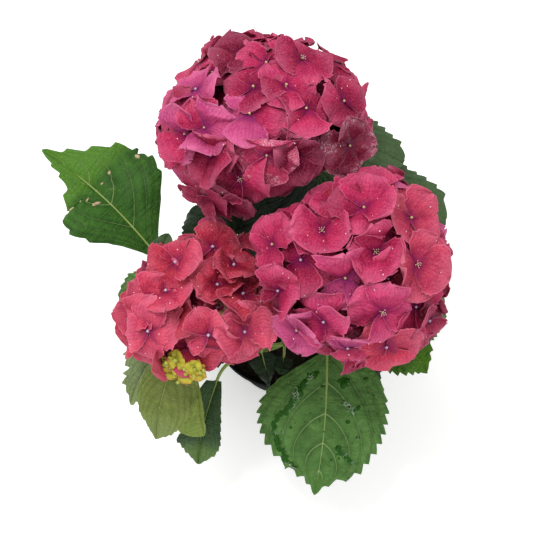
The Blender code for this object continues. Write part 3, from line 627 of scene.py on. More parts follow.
def leaf_finish(name, dark, light, vein, tip, tip_from, tip_full, gloss, coat, wet, under=False):
    """A leaf side. Its colour goes from dark to light by a soft noise, with painted light on the arches
    midway between two side veins, where the tissue arches up, and painted shade in the hollows beside the
    veins. Over it lie painted shade in the creases along the blade, the tip's colour near the end, a deep
    green under a film of water, and the vein colour on the net, the side veins and the midrib. The phase of
    the side veins is SIDE_VEINS times (along - VEIN_RISE a - VEIN_CURVE a squared), with a the distance
    across from the midrib."""
    made = finish(
        name, dark, Roughness=gloss, Coat_Weight=coat, Coat_Roughness=0.22, Specular_IOR_Level=0.12)
    tree = made.node_tree
    blade = add_node(tree, "SeparateXYZ", {}, [add_node(tree, "UVMap", {"uv_map": "blade"}, {})])
    real = add_node(tree, "UVMap", {"uv_map": "real_size"}, {})
    width = add_node(tree, "SeparateXYZ", {}, [real])
    along = blade.outputs["Y"]

    # a runs from 0 at the midrib to 1 at the margin; near is 0 on a side vein, 0.5 between two.
    across = add_node(tree, "Math", TIMES_PLUS, [blade.outputs["X"], 2.0, -1.0])
    a = add_node(tree, "Math", {"operation": "ABSOLUTE"}, [across])
    slope = add_node(tree, "Math", TIMES_PLUS, [a, VEIN_CURVE, VEIN_RISE])
    climb = add_node(tree, "Math", TIMES, [a, slope])
    level = add_node(tree, "Math", {"operation": "SUBTRACT"}, [along, climb])
    phase = add_node(tree, "Math", TIMES, [level, float(SIDE_VEINS)])
    near = add_node(tree, "Math", FOLDED, [phase, 0.5])

    # The side veins and the midrib thin out towards the margin and the tip.
    slim = add_node(tree, "Math", TIMES_PLUS, [a, -0.026, 0.044])
    side_share = add_node(tree, "Math", {"operation": "DIVIDE"}, [near, slim])
    side = add_node(tree, "MapRange", SMOOTH, [side_share, 0.35, 1.0, 1.0, 0.0])
    half_rib = add_node(tree, "Math", TIMES_PLUS, [along, -0.0065, 0.0100])
    off_rib = add_node(tree, "Math", {"operation": "ABSOLUTE"}, [width.outputs["X"]])
    rib_share = add_node(tree, "Math", {"operation": "DIVIDE"}, [off_rib, half_rib])
    rib = add_node(tree, "MapRange", SMOOTH, [rib_share, 0.5, 1.0, 1.0, 0.0])
    mesh = add_node(tree, "TexVoronoi", CELL_EDGES, {"Vector": real, "Scale": 34.0})
    net = add_node(tree, "MapRange", SMOOTH, [mesh, 0.0, 0.09, 1.0, 0.0])

    # Soft clouds, with painted light on the arches between the veins and painted shade in the hollows beside
    # them.
    clouds = add_node(tree, "TexNoise", {}, {
        "Vector": real, "Scale": 4.5, "Detail": 8.0, "Roughness": 0.7})
    cloud = add_node(tree, "MapRange", {}, [clouds, 0.35, 0.65])
    arch = add_node(tree, "MapRange", SMOOTH, [near, 0.02, 0.34, -0.30, 0.14])
    pale = add_node(tree, "Math", {"operation": "ADD", "use_clamp": True}, [cloud, arch])

    # Creases run along the blade, with painted shade in them; a film of water, where there is one, gathers
    # in long pools.
    flat = add_node(tree, "Mapping", {}, {"Vector": real, "Scale": (0.42, 1.9, 1.0)})
    folds = add_node(tree, "TexNoise", {}, {
        "Vector": flat, "Scale": 5.0, "Detail": 1.5, "Distortion": 0.4})
    off_fold = add_node(tree, "Math", FOLDED, [folds, 0.09])
    crease = add_node(tree, "MapRange", SMOOTH, [off_fold, 0.0, 0.075, 1.0, 0.0])
    shade = add_node(tree, "Math", TIMES, [crease, 0.11])
    ending = add_node(tree, "MapRange", SMOOTH, [along, tip_from, tip_full, 0.0, 0.85])
    drawn = add_node(tree, "Mapping", {}, {"Vector": real, "Scale": (1.0, 0.45, 1.0)})
    film = add_node(tree, "TexNoise", {}, {
        "Vector": drawn, "Scale": 5.0, "Detail": 4.0, "Distortion": 1.0})
    puddle = add_node(tree, "MapRange", SMOOTH, [
        film, 0.66 - wet * 0.4, 0.74 - wet * 0.4, 0.0, 0.75 * bool(wet)])
    lines = [add_node(tree, "Math", TIMES, part) for part in ((net, 0.13), (side, 0.52), (rib, 0.82))]
    # Colours laid over the body one by one, each as far as its node says.
    colour = linear(dark)
    for cover, code in (
            (pale, light), (shade, blend(dark, "#081204", 0.35)), (ending, tip),
            (puddle, blend(dark, "#0E4A00", 0.85)), *((line, vein) for line in lines)):
        colour = add_node(tree, "Mix", RGBA, {0: cover, 6: colour, 7: linear(code)})
    shine = add_node(tree, "MapRange", {}, [puddle, 0.0, 1.0, coat, 0.25])

    # The veins are sunk from above and stand out below.
    shallow = add_node(tree, "Math", TIMES, [net, 0.5])
    veins = add_node(tree, "Math", {"operation": "MAXIMUM"}, [side, rib])
    sunk = add_node(tree, "Math", {"operation": "MAXIMUM"}, [shallow, veins])
    pucker = add_node(tree, "TexNoise", {}, {
        "Vector": real, "Scale": 13.0, "Detail": 4.0, "Roughness": 0.62})
    rough = add_node(tree, "Math", TIMES_PLUS, [pucker, 2.6, sunk])
    depth = add_node(tree, "Math", TIMES_PLUS, [crease, 0.6, rough])
    relief = add_node(tree, "Bump", {"invert": not under}, {
        "Height": depth, "Strength": 0.85, "Distance": 0.0009})
    feed(tree.nodes["Principled BSDF"], {"Base Color": colour, "Coat Weight": shine, "Normal": relief})
    return made


# name: dark, light, vein, tip, where the tip's colour starts and is full, roughness, coat of
# water, and the share of the blade under a film of it
LEAF_LOOKS = {
    # grey-green, wet in places
    "grown": ("#3A6129", "#5E8844", "#9DB676", "#4C7A30", 0.70, 0.95, 0.52, 0.02, 0.10),
    # its end bent to the light, the light on it painted into a lighter tip
    "lit": ("#264F17", "#3E6D24", "#84A25A", "#548329", 0.55, 0.62, 0.50, 0.03, 0.12),
    # painted shade: an inner leaf, and one deep in the gap, drawn darker for the shade they stand in
    "deep": ("#0F1E0C", "#1A2F15", "#44603A", "#1A2F15", 0.62, 0.8, 0.45, 0.04, 0.0),
    "black": ("#0A150A", "#142410", "#263A20", "#142410", 0.62, 0.8, 0.40, 0.05, 0.0),
    # at the back, with a painted sheen greying its green
    "grey": ("#334A2B", "#4A633E", "#7A9466", "#4A633E", 0.62, 0.8, 0.42, 0.08, 0.0),
    # dark blue-green, then a yellower green
    "blue": ("#2A4428", "#425E38", "#86A068", "#5E7E3C", 0.62, 0.8, 0.48, 0.05, 0.0),
    "fresh": ("#264E02", "#416E06", "#92B04C", "#416E06", 0.62, 0.8, 0.50, 0.02, 0.15),
    # young leaves: dull olive, then grey-green
    "olive": ("#677636", "#81914A", "#A2AE70", "#7E8F52", 0.62, 0.8, 0.58, 0.02, 0.0),
    "pale": ("#728254", "#8E9F6C", "#ACB88C", "#7E9056", 0.62, 0.8, 0.58, 0.02, 0.0),
    # light through it
    "bright": ("#788C40", "#92A64E", "#B0BE6A", "#849A46", 0.62, 0.8, 0.50, 0.03, 0.0),
}
# An under side wears the same four colours, each this far on the way to a grey-green.
PALED = (("#8FA07C", 0.45), ("#98A888", 0.45), ("#B8C79C", 0.4), ("#A9BA98", 0.4))
leaf_over = {key: leaf_finish("leaf_" + key, *look) for key, look in LEAF_LOOKS.items()}
leaf_under = {
    key: leaf_finish(
        "leaf_under_" + key, *(blend(code, *to) for code, to in zip(look, PALED)), *look[4:6],
        gloss=0.62, coat=0.0, wet=0.0, under=True)
    for key, look in LEAF_LOOKS.items()}
# Leaf stalk: smooth, pale green, yellower in places.
stalk_green = mottled(
    finish("leaf_stalk", "#84A152", Roughness=0.5, Specular_IOR_Level=0.2), "#7E9C4C", "#9AA65E",
    {"Scale": 40.0, "Detail": 3.0})

# %% [markdown]
# ## Leaf blades
# Each blade is one grid: rows along the midrib, columns across it. The outline is the solid's
# rule, or a table where a blade has a shape of its own. The outermost columns carry the teeth,
# the tissue swells between the side veins, the margin waves, and a groove runs along the midrib.

# %% Leaf blades
BLADE_THICKNESS, PETIOLE_RADIUS = 0.0007, 0.0021
GROOVE_DEPTH, GROOVE_WIDTH = 0.0007, 0.0012
STALK_DROP = 0.0009  # how far under the blade the stalk's line runs on
ROWS_A_TOOTH = 8
TOOTH_SHAPE = np.array([0.0, 0.16, 0.34, 0.52, 0.70, 0.88, 1.0, 0.45])  # a tooth leans to the tip
BLADE_COLUMNS, STALK_SIDES = 31, 10
# Half-widths in millimetres at tenths of the length, left then right, for blades with a shape of
# their own: torn, folded or grown to one side.
MARGINS = {
    "leaf_side": (
        (4.5, 13.5, 23.1, 35.3, 44.0, 42.6, 27.0, 14.3, 9.5, 4.8, 0),
        (4.2, 18.6, 35.3, 49.8, 55.8, 54.0, 47.6, 34.5, 20.8, 8, 0)),
    "leaf_front": (
        (14, 41.0, 48.8, 52.8, 52.8, 51.0, 47.0, 40.2, 30.8, 10.9, 0),
        (2, 22.9, 41.8, 53.8, 58.1, 56.1, 50.5, 39.6, 22.3, 8.2, 0)),
    "leaf_front_left": (
        (3.7, 6.8, 9.8, 12.5, 15.2, 17.0, 18.8, 18.7, 15.3, 7.2, 0),
        (10, 15, 15, 15, 15.5, 16.9, 25, 19.3, 13.7, 6.5, 0)),
    "leaf_left_pale": (
        (8, 18, 25, 29, 29.2, 29.0, 27.0, 22.5, 17.2, 9.3, 0),
        (5, 12, 17, 20, 21, 21, 19, 16.5, 9.3, 5.5, 1)),
    "leaf_left_serrated": (
        (4, 12, 18, 21, 20, 17, 15, 12.5, 8.5, 5.5, 1),
        (4, 12, 19, 21.8, 19.8, 14.8, 14.0, 12.0, 7.8, 3.3, 0)),
    "leaf_left_bright": (
        (1, 2, 3, 4, 4, 4, 4, 3, 3, 2, 0),
        (2, 9, 15, 19, 21, 22, 23, 23, 21, 15, 0)),
    "leaf_back_low_right": (
        (10, 25, 33, 36.5, 37.0, 36.5, 35.5, 36.0, 31.9, 25.5, 2),
        (8, 24, 34, 40, 42, 41, 38, 33, 25, 14, 2)),
    "leaf_back_high_right": (
        (6, 16, 22, 25, 26, 26, 25.5, 23.7, 19.5, 14.5, 2),
        (6, 18, 27, 32, 34, 33, 30, 25, 19, 11, 2)),
    "leaf_right_high_front": (
        (5, 14, 21, 26, 28, 28, 25, 20, 13, 7, 0),
        (5, 14, 21, 26, 28.3, 28.0, 25.0, 19.3, 12.0, 6.5, 0)),
    "leaf_gap": (
        (24, 36, 39, 39, 38, 36, 34, 31, 25, 17.7, 1),
        (6, 18, 27, 34, 39, 43, 48, 49, 43, 26, 0)),
    "leaf_front_low": (
        (6, 10, 12.2, 10.0, 8.5, 6.5, 4.5, 3.5, 1.5, 0.5, 0),
        (6, 13.5, 12.5, 11.0, 9.5, 7.5, 6.5, 4.5, 3.0, 1.5, 0)),
}
TEARS = {  # narrow cuts from the margin: side, place along, depth as a share, half its width along
    "leaf_side": ((-1, 0.545, 0.42, 0.012), (1, 0.50, 0.09, 0.010)),
}
KINKS = {"leaf_side": (0.585, 0.0035)}  # where along the blade it is bent, and how deep, in metres


def place_at(azimuth, reach, height):
    """The point at this azimuth and reach from the pot's axis, this high."""
    turn = math.radians(azimuth)
    return np.array([reach * math.cos(turn), reach * math.sin(turn), height])


def turned_about(vector, axis, degrees):
    """The vector turned about the axis."""
    angle = math.radians(degrees)
    along = axis * (vector @ axis)
    return along + (vector - along) * math.cos(angle) + np.cross(axis, vector) * math.sin(angle)


def midrib(leaf, v):
    """Points of the midrib at v, and the directions across it and out of the blade there. The line
    is the quadratic curve of base, raised middle and tip, swung sideways by swing sin(pi v)."""
    base, tip = place_at(*leaf.base), place_at(*leaf.tip)
    chord = unit(tip - base)
    side = unit(np.cross(chord, UP))
    up = turned_about(np.cross(side, chord), chord, leaf.roll)
    middle = (base + tip) / 2 + up * leaf.bow * 2
    v = np.asarray(v, float)[:, None]
    line = base * (1 - v) ** 2 + middle * 2 * v * (1 - v) + tip * v * v
    along = unit((middle - base) * (1 - v) + (tip - middle) * v)
    across = unit(np.cross(along, up))
    line = line + across * leaf.swing * MM * np.sin(math.pi * v)
    return line, across, np.cross(across, along)


def half_widths(name, leaf, v):
    """Half the blade's width at v, left and right. It is the solid's rule, (v/0.4)^0.6 times
    ((1-v)/0.6)^0.9, or a smooth cubic through the blade's own widths, each met with the slope
    between its two neighbours."""
    if name not in MARGINS:
        return np.stack([leaf.width / 2 * (v / 0.4) ** 0.6 * ((1 - v) / 0.6) ** 0.9] * 2)
    values = np.array(MARGINS[name], float) * MM
    slopes = np.gradient(values, axis=1)
    k = np.minimum((v * 10).astype(int), 9)
    t = v * 10 - k
    start = values[:, k] * (2 * t ** 3 - 3 * t ** 2 + 1) + slopes[:, k] * (t ** 3 - 2 * t ** 2 + t)
    end = values[:, k + 1] * (3 * t ** 2 - 2 * t ** 3) + slopes[:, k + 1] * (t ** 3 - t ** 2)
    return np.maximum(start + end, 0.0004)


def blade_surface(name, leaf, seed):
    """The blade's middle surface, and each point's places in two maps: (across, along) from 0 to 1,
    and the real size in units of 100 mm. A point lies u times the half-width across from the midrib
    at v. The teeth move it across and ahead, by the fifth power of a, the distance from the midrib.
    Its rise is the fold, less a droop by the fourth power of a, plus swells between the side
    veins, a groove on the midrib and a wave along the margin."""
    dice = np.random.default_rng(seed)
    rows = leaf.teeth * ROWS_A_TOOTH + 1
    s = np.linspace(0, 1, rows)
    v = 0.012 + 0.983 * s
    u = np.linspace(-1, 1, BLADE_COLUMNS)
    u = np.sign(u) * (1 - (1 - np.abs(u)) ** 1.15)
    line, across, out = midrib(leaf, v)
    length = np.linalg.norm(place_at(*leaf.tip) - place_at(*leaf.base))
    sides = half_widths(name, leaf, v)
    # Teeth stand square to the margin, which slopes where the blade narrows.
    slopes = np.clip(np.gradient(sides, v * length, axis=1), -1.6, 1.6)
    slope = np.where(u[None] < 0, slopes[0][:, None], slopes[1][:, None])
    lean = 1 / np.sqrt(1 + slope ** 2)
    for side, at, depth, half_width in TEARS.get(name, ()):
        sides[(side + 1) // 2] *= 1 - depth * np.exp(-((v - at) / half_width) ** 2)
    half = np.where(u[None] < 0, sides[0][:, None], sides[1][:, None])
    row = np.arange(rows)
    strong = dice.uniform(0.75, 1.1, rows // ROWS_A_TOOTH + 1)
    teeth = TOOTH_SHAPE[row % ROWS_A_TOOTH] * strong[row // ROWS_A_TOOTH]
    tooth = leaf.cut * MM * np.clip(half / 0.012, 0, 1) * np.clip((s - 0.12) / 0.22, 0, 1)[:, None]
    a = np.abs(u)[None]
    push = tooth * (teeth[:, None] - 0.6) * a ** 5
    width = half + push * lean
    fold = math.radians(leaf.fold)
    x = u[None] * width * math.cos(fold)
    rise = a * width * math.sin(fold) - 0.10 * half * a ** 4
    phase = SIDE_VEINS * (v[:, None] - VEIN_RISE * a - VEIN_CURVE * a * a)
    swell = np.abs(np.sin(math.pi * phase)) ** 0.7
    rise += leaf.width * 0.018 * swell * a ** 0.35 * (1 - a ** 3) * np.sqrt(half / half.max())
    rise -= GROOVE_DEPTH * np.exp(-(x / GROOVE_WIDTH) ** 2)
    wave, start = dice.uniform(2.2, 3.2), dice.uniform(0, 6.28, 2)
    margin = np.where(u < 0, start[0], start[1])[None]
    rise += leaf.width * 0.020 * a ** 3 * np.sin(2 * math.pi * wave * v[:, None] + margin)
    if name in KINKS:
        at, depth = KINKS[name]
        rise -= depth * np.exp(-np.abs(v - at) / 0.06)[:, None]
    ahead = 0.4 * tooth * teeth[:, None] * a ** 5 - push * lean * slope
    forward = unit(np.gradient(line, axis=0))[:, None] * ahead[..., None]
    points = line[:, None] + across[:, None] * x[..., None] + out[:, None] * rise[..., None] + forward
    own = np.broadcast_arrays((u[None] + 1) / 2, v[:, None])
    real = np.broadcast_arrays(x * 10, v[:, None] * length * 10)
    return points, np.stack(own, -1), np.stack(real, -1)


def petiole_path(leaf):
    """The stalk's line: out of the shoot, along a cubic curve to the blade's base and on under it."""
    start, axis, _ = shoot_point(leaf.shoot, leaf.along)
    (base, *_), _, (up, *_) = midrib(leaf, [0.0, 0.02])
    along = unit(midrib(leaf, [0.02])[0][0] - base)
    out = base - start
    reach = np.linalg.norm(out)
    out = unit(unit(out - axis * (out @ axis)) + axis * 0.35)
    bend = bezier(np.array([[start, start + out * reach * 0.4, base - along * reach * 0.4, base]]),
                  np.linspace(0, 1, 22))[0][:-1]
    v = np.linspace(0.0, 0.72, 16)
    under, _, ups = midrib(leaf, v)
    return np.concatenate([bend, under - ups * STALK_DROP])


def make_leaf(number, name, leaf):
    """Blade and stalk as one piece, with a map for the veins, one at real size, and one for baking."""
    surface, own, real = blade_surface(name, leaf, 300 + number)
    points, upper, under, rim = sheet(surface[None], BLADE_THICKNESS)
    path = petiole_path(leaf)
    thick = PETIOLE_RADIUS * min(1.0, 0.45 + leaf.width / 0.15)
    taper = np.concatenate([np.linspace(1.15, 0.88, 21), np.linspace(0.84, 0.16, 16)])
    stalk, walls, ends = tubes(path[None], (taper * thick)[None], STALK_SIDES)
    places = {}
    for key, spread in (("blade", own), ("real_size", real)):
        both = np.tile(spread.reshape(-1, 2), (2, 1))
        places[key] = np.concatenate([both[part[0]].reshape(-1, 2) for part in (upper, under, rim)] + [
            np.zeros((walls.size + ends.size, 2))])

    # The baking map: upper side on the left, under side on the right, the stalk in a strip on top.
    flat = own.reshape(-1, 2)
    over = np.stack([0.02 + 0.46 * flat[:, 0], 0.02 + 0.90 * flat[:, 1]], -1)
    rims = (flat - 0.5) * 1.02
    edge = np.stack([0.25 + 0.475 * rims[:, 0] / 1.02, 0.47 + 0.905 * rims[:, 1]], -1)
    side_map, rim_map = np.concatenate([over, over + [0.5, 0]]), np.concatenate([over, edge])
    steps = np.arange(len(path))
    ring = np.stack(np.meshgrid(np.linspace(0, 0.9, STALK_SIDES), steps / len(path)), -1).reshape(-1, 2)
    stalk_map = np.stack([0.02 + 0.9 * ring[:, 1], 0.945 + 0.04 * ring[:, 0]], -1)
    covers = (
        (side_map, upper[0]), (side_map, under[0]), (rim_map, rim[0]), (stalk_map, walls), (stalk_map, ends))
    places["OFBake"] = np.concatenate([cover[faces].reshape(-1, 2) for cover, faces in covers])
    wears = np.repeat([0, 1, 0, 2, 2], [len(upper[0]), len(under[0]), len(rim[0]), len(walls), len(ends)])
    made = piece(
        name + "_blade", np.concatenate([points, stalk]),
        [upper[0], under[0], rim[0], walls + len(points), ends + len(points)],
        [leaf_over[leaf.wears], leaf_under[leaf.wears], stalk_green], wears, places, sharp=60)
    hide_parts(name)
    return made


for number, (name, leaf) in enumerate(LEAVES.items()):
    make_leaf(number, name, leaf)

# %% [markdown]
# ## Mopheads: where each floret stands
# A mophead is a dome of sterile florets. Those that are seen best stand in a table: an azimuth and
# polar angle on the dome, a lift off it in millimetres, a size, a tint, the kind of centre, and
# for each of the four sepals its turn about the floret and how far it rises, in degrees. The rest
# of the dome is filled by a golden spiral, a point being kept if it stands clear of all before.

# %% Placed florets
# Tints: p pale pink, m rose, r raspberry, d deep raspberry, w wine, v vivid rose, c coral rose,
# k deep coral, b brownish rose, o coral pink, q clear coral, g greenish; a capital is wet.
# Centres: y a yellow bud, l, p and g a lilac one, o open.
PLACED = {
    "flower_head_back": (
        (263, 36, 4, 1.05, "p", "y", (100, 182, 264, 349), (-29, -27, 13, -9)),
        (274, 58, 5, 1.00, "M", "y", (90, 193, 270, 342), (52, -7, -9, -6)),
        (263, 20, 1, 1.00, "r", "y", (17, 89, 161, 293), (2, -5, -6, 38)),
        (306, 24, 3, 1.00, "r", "y", (32, 121, 205, 277), (-15, -7, 27, 34)),
        (4, 23, 1, 1.00, "r", "o", (25, 97, 202, 299), (1, 3, 15, 2)),
        (324, 5, -1, 1.00, "m", "y", (13, 85, 157, 268), (-30, 9, 0, 2)),
        (308, 40, 4, 1.00, "r", "y", (9, 81, 198, 270), (-22, -23, 41, 27)),
        (340, 52, 1, 1.00, "r", "y", (46, 169, 241, 334), (13, 18, 3, -10)),
        (323, 72, 3, 1.00, "D", "y", (114, 186, 283, 355), (21, 0, -8, 20)),
        (290, 62, -2, 0.95, "d", "o", (5, 84, 156, 291), (0, 44, 52, 2)),
        (290, 49, -9, 0.90, "r", "l", (33, 123, 213, 303), (5, 5, 5, 5)),
        (232, 49, 3, 1.00, "p", "y", (39, 111, 255, 327), (24, 18, 52, 16)),
        (218, 59, 0, 1.00, "p", "y", (84, 156, 228, 301), (40, -20, 26, 17)),
        (241, 62, 1, 1.00, "r", "l", (10, 85, 226, 298), (29, 52, 1, 44)),
        (137, 13, -2, 1.00, "d", "y", (35, 107, 179, 295), (-10, 24, 24, 2)),
        (236, 98, -1, 1.00, "r", "y", (34, 129, 215, 287), (12, 2, 10, 21)),
        (249, 102, -3, 1.00, "d", "l", (46, 118, 227, 299), (4, 10, 16, 7)),
        (259, 73, -1, 1.00, "r", "o", (6, 143, 215, 287), (39, -31, -11, -12)),
        (199, 37, 0, 1.00, "p", "p", (107, 179, 265, 356), (-8, 7, 2, 19)),
        (20, 45, -1, 0.95, "r", "y", (92, 215, 287, 359), (-12, -15, -15, 5)),
    ),
    "flower_head_right": (
        (99, 27, 5, 1.06, "m", "y", (83, 156, 259, 331), (16, 7, 18, 40)),
        (150, 30, 2, 1.00, "m", "o", (99, 188, 267, 346), (-3, 52, 39, 25)),
        (69, 4, 1, 1.00, "m", "o", (107, 179, 251, 334), (52, 38, 34, 52)),
        (356, 24, 3, 1.10, "q", "o", (50, 187, 265, 337), (15, 37, 0, 33)),
        (46, 35, 0, 1.00, "q", "y", (53, 125, 232, 341), (28, -7, 8, 12)),
        (181, 37, 4, 1.08, "m", "l", (109, 181, 266, 344), (-38, -24, -3, -19)),
        (215, 17, 3, 1.00, "v", "y", (89, 187, 259, 331), (52, -34, -20, -23)),
        (282, 27, 5, 1.00, "v", "o", (82, 171, 277, 354), (26, -5, -8, 4)),
        (234, 42, 3, 1.00, "v", "l", (30, 102, 213, 285), (35, 10, -26, -22)),
        (259, 53, 0, 1.00, "p", "l", (85, 203, 275, 347), (28, -31, -10, -23)),
        (226, 63, -2, 1.00, "p", "y", (23, 95, 204, 276), (31, 29, -3, 0)),
        (71, 18, -3, 1.00, "m", "l", (12, 84, 225, 300), (-9, -21, 2, 2)),
        (316, 14, -5, 0.90, "m", "l", (93, 188, 260, 332), (52, 39, 2, 2)),
        (319, 39, -3, 1.00, "m", "l", (59, 149, 239, 329), (2, 2, 2, -17)),
        (170, 58, 2, 1.00, "m", "y", (27, 101, 187, 259), (12, 8, -2, -3)),
        (286, 55, -2, 1.10, "q", "l", (15, 123, 208, 280), (15, 2, -19, 11)),
        (321, 57, -2, 1.00, "r", "p", (7, 81, 155, 283), (-12, 2, 18, 8)),
        (199, 58, -1, 1.00, "m", "l", (70, 164, 236, 358), (34, -18, -39, 26)),
    ),
    "flower_head_left": (
        (104, 23, 4, 1.00, "c", "l", (98, 181, 272, 344), (-5, -5, -1, 28)),
        (62, 40, 2, 1.04, "k", "l", (19, 91, 163, 262), (-20, 14, -11, -35)),
        (34, 42, -1, 0.90, "k", "l", (19, 91, 213, 285), (-10, -25, 34, 40)),
        (161, 13, 1, 1.00, "c", "l", (1, 75, 172, 289), (9, 2, -16, 42)),
        (20, 24, -4, 0.90, "k", "l", (51, 151, 227, 311), (2, 52, 45, 52)),
        (2, 41, 0, 1.00, "k", "l", (1, 80, 215, 288), (-35, -31, 38, 2)),
        (221, 34, 4, 1.00, "o", "l", (17, 89, 190, 270), (-6, 17, 4, -8)),
        (301, 31, 3, 1.00, "o", "l", (26, 110, 187, 259), (48, 21, -34, -31)),
        (328, 49, 3, 1.02, "o", "l", (6, 98, 183, 286), (21, 17, 19, -22)),
        (189, 24, -2, 1.00, "c", "l", (61, 133, 205, 347), (2, 32, 12, 2)),
        (346, 69, -5, 0.85, "k", "l", (71, 143, 251, 359), (2, 33, 2, -4)),
        (241, 56, -5, 0.80, "k", "p", (20, 122, 208, 282), (72, 2, -30, 10)),
        (201, 46, -4, 1.00, "o", "l", (50, 163, 235, 315), (22, 14, -12, 2)),
        (340, 24, -5, 0.50, "g", "l", (33, 105, 177, 291), (35, 34, 32, 45)),
        (231, 14, -10, 0.95, "k", "g", (36, 160, 232, 324), (41, -23, -27, 45)),
    ),
}

# Young florets: azimuth and polar angle on the left head.
BUDS = ((248, 55), (261, 59), (252, 65), (272, 56), (264, 67), (257, 50), (274, 64))
print("placed florets:", {name: len(rows) for name, rows in PLACED.items()})

# %% Domes, spirals and borders
GOLDEN_ANGLE = math.pi * (3 - math.sqrt(5))
SPIRAL_STEPS = 900
SEPAL_LENGTH = 0.0245
UPWARD = 0.4  # how much a floret low on its head turns up to the light
Florets = namedtuple("Florets", "origin normal turns rises length tints centres")


def head_turn(head):
    """The 3 by 3 turn from a head's own frame, with +Z its axis, to the plant's."""
    spin, lean = np.radians(head.axis)
    across, up = math.sin(spin), math.sin(lean)
    about = np.array([[math.cos(spin), -across, 0], [across, math.cos(spin), 0], [0, 0, 1]])
    tilt = np.array([[math.cos(lean), 0, up], [0, 1, 0], [-up, 0, math.cos(lean)]])
    return about @ tilt @ about.T


def dome_at(head, azimuth, polar):
    """Points of the dome and its outward normals there, with both angles in radians. The normal of
    a flattened ball is its point with each part divided by that half-width squared."""
    half = np.where(polar < math.pi / 2, head.dome, head.hem)
    flat = circled(np.sin(polar) * head.radius, azimuth, half * np.cos(polar))
    squares = np.stack([np.full(half.shape, head.radius ** 2)] * 2 + [half ** 2], -1)
    turn = head_turn(head)
    return head.centre + flat @ turn.T, unit(flat / squares) @ turn.T


def spiral(head, taken, spacing, share):
    """Angles of a golden spiral's points over the dome, even by area, that stand spacing clear of
    the taken points and of each other."""
    steps = np.linspace(0, math.radians(head.reach), 200)
    half = np.where(steps < math.pi / 2, head.dome, head.hem)
    area = np.sin(steps) * np.sqrt((half * np.sin(steps)) ** 2 + (head.radius * np.cos(steps)) ** 2)
    total = np.cumsum(area)
    polar = np.interp((np.arange(SPIRAL_STEPS) + 0.5) / SPIRAL_STEPS * total[-1], total, steps)
    azimuth = np.arange(SPIRAL_STEPS) * GOLDEN_ANGLE
    points = head.centre + (dome_at(head, azimuth, polar)[0] - head.centre) * share
    stands, kept = [np.array(point) for point in taken], []
    for number, point in enumerate(points):
        if not stands or np.linalg.norm(np.array(stands) - point, axis=1).min() > spacing:
            stands.append(point)
            kept.append(number)
    return azimuth[kept], polar[kept]


def extent(head, towards):
    """How far the dome reaches in this direction from its centre: the length of the direction with
    each part times that half-width."""
    local = head_turn(head).T @ towards
    half = head.dome if local[2] > 0 else head.hem
    parts = [(size * part) ** 2 for size, part in zip((head.radius, head.radius, half), local)]
    return math.sqrt(parts[0] + parts[1] + parts[2])


def behind_borders(name, origin, reach):
    """The points moved back, so that each with its reach stays behind the planes between this head
    and its neighbours. The planes share out the distance as the two domes' extents do."""
    head = HEADS[name]
    for other_name, other in HEADS.items():
        if other_name != name:
            across = other.centre - head.centre
            out = unit(across)
            mine, theirs = extent(head, out), extent(other, -out)
            excess = (origin - head.centre - across * mine / (mine + theirs)) @ out + reach
            origin = origin - out * np.maximum(excess, 0)[:, None]
    return origin


# %% [markdown]
# ## How the rest of a head is filled
# Between and behind the placed florets stand many more. Those beside a placed one sit a little deeper in the
# head. An inner layer closes the view into the head, as the crowded lower florets of a real mophead do; its
# darker tints, down to wine red, are painted shade.

# %% Fill florets
# The second palette of each head, for the inner layer, holds darker tints down to wine red: painted shade.
PALETTES = {  # tints of the filled florets, dealt at random
    "flower_head_back": ("mrrmpm", "drwd"),
    "flower_head_right": ("mmrcvm", "drwd"),
    "flower_head_left": ("ckkcbm", "kwkd"),
}
FILL_SPACING, INNER_SPACING, INNER_SHARE = 0.0250, 0.0300, 0.74
LEFT_OUT = 99
# Outer and inner filled florets that sit deeper in the head, by number, in millimetres.
PULLED = {
    "flower_head_back": (
        {2: 4, 3: 8, 4: 20, 5: 4, 8: 6, 10: 10, 12: 12, 13: 14, 14: 9, 17: 6, 19: 8, 24: 14, 37: LEFT_OUT,
         38: 5},
        {21: 6}),
    "flower_head_right": (
        {4: 12, 5: 4, 7: 12, 8: 8, 10: 14, 11: 4, 12: 5, 13: 5, 15: 14, 17: 5, 18: 12, 21: LEFT_OUT,
         22: 5, 25: 5, 26: 5, 29: 14, 30: LEFT_OUT},
        {}),
    "flower_head_left": (
        {0: 8, 1: 5, 2: 8, 3: 9, 4: LEFT_OUT, 6: LEFT_OUT, 7: -7, 10: LEFT_OUT, 12: 9, 13: LEFT_OUT,
         14: LEFT_OUT, 15: 9, 16: LEFT_OUT},
        {8: 8, 9: -5, 12: LEFT_OUT}),
}


def filled(name, taken, spacing, share, palette, dice, deep, pulled):
    """Florets on the spiral, each facing out, a little up and a little astray, and drawn in by deep
    of its point and by pulled of its number."""
    head = HEADS[name]
    azimuth, polar = spiral(head, taken, spacing, share)
    count = len(azimuth)
    point, normal = dome_at(head, azimuth, polar)
    facing = unit(normal + UP * (UPWARD * np.sin(polar) ** 2)[:, None] + dice.normal(0, 0.16, (count, 3)))
    lift = dice.uniform(-0.0015, 0.0015, count) - deep(point)
    origin = head.centre + (point - head.centre) * share + normal * lift[:, None]
    length = SEPAL_LENGTH * dice.uniform(0.86, 1.02, count)
    origin = behind_borders(name, origin, length)
    turns = dice.uniform(0, 90, (count, 1)) + np.arange(4) * 90 + dice.normal(0, 8, (count, 4))
    rises = dice.normal(4, 13, (count, 4))
    tints = "".join(dice.choice(list(palette), count))
    centres = "".join(dice.choice(list("ylllo"), count))
    pull = np.array([pulled.get(number, 0) for number in range(count)], float)
    origin = origin - unit(origin - head.centre) * pull[:, None] * MM
    kept = np.flatnonzero(pull < LEFT_OUT)
    return Florets(
        origin[kept], facing[kept], turns[kept], rises[kept], length[kept],
        "".join(tints[k] for k in kept), "".join(centres[k] for k in kept))


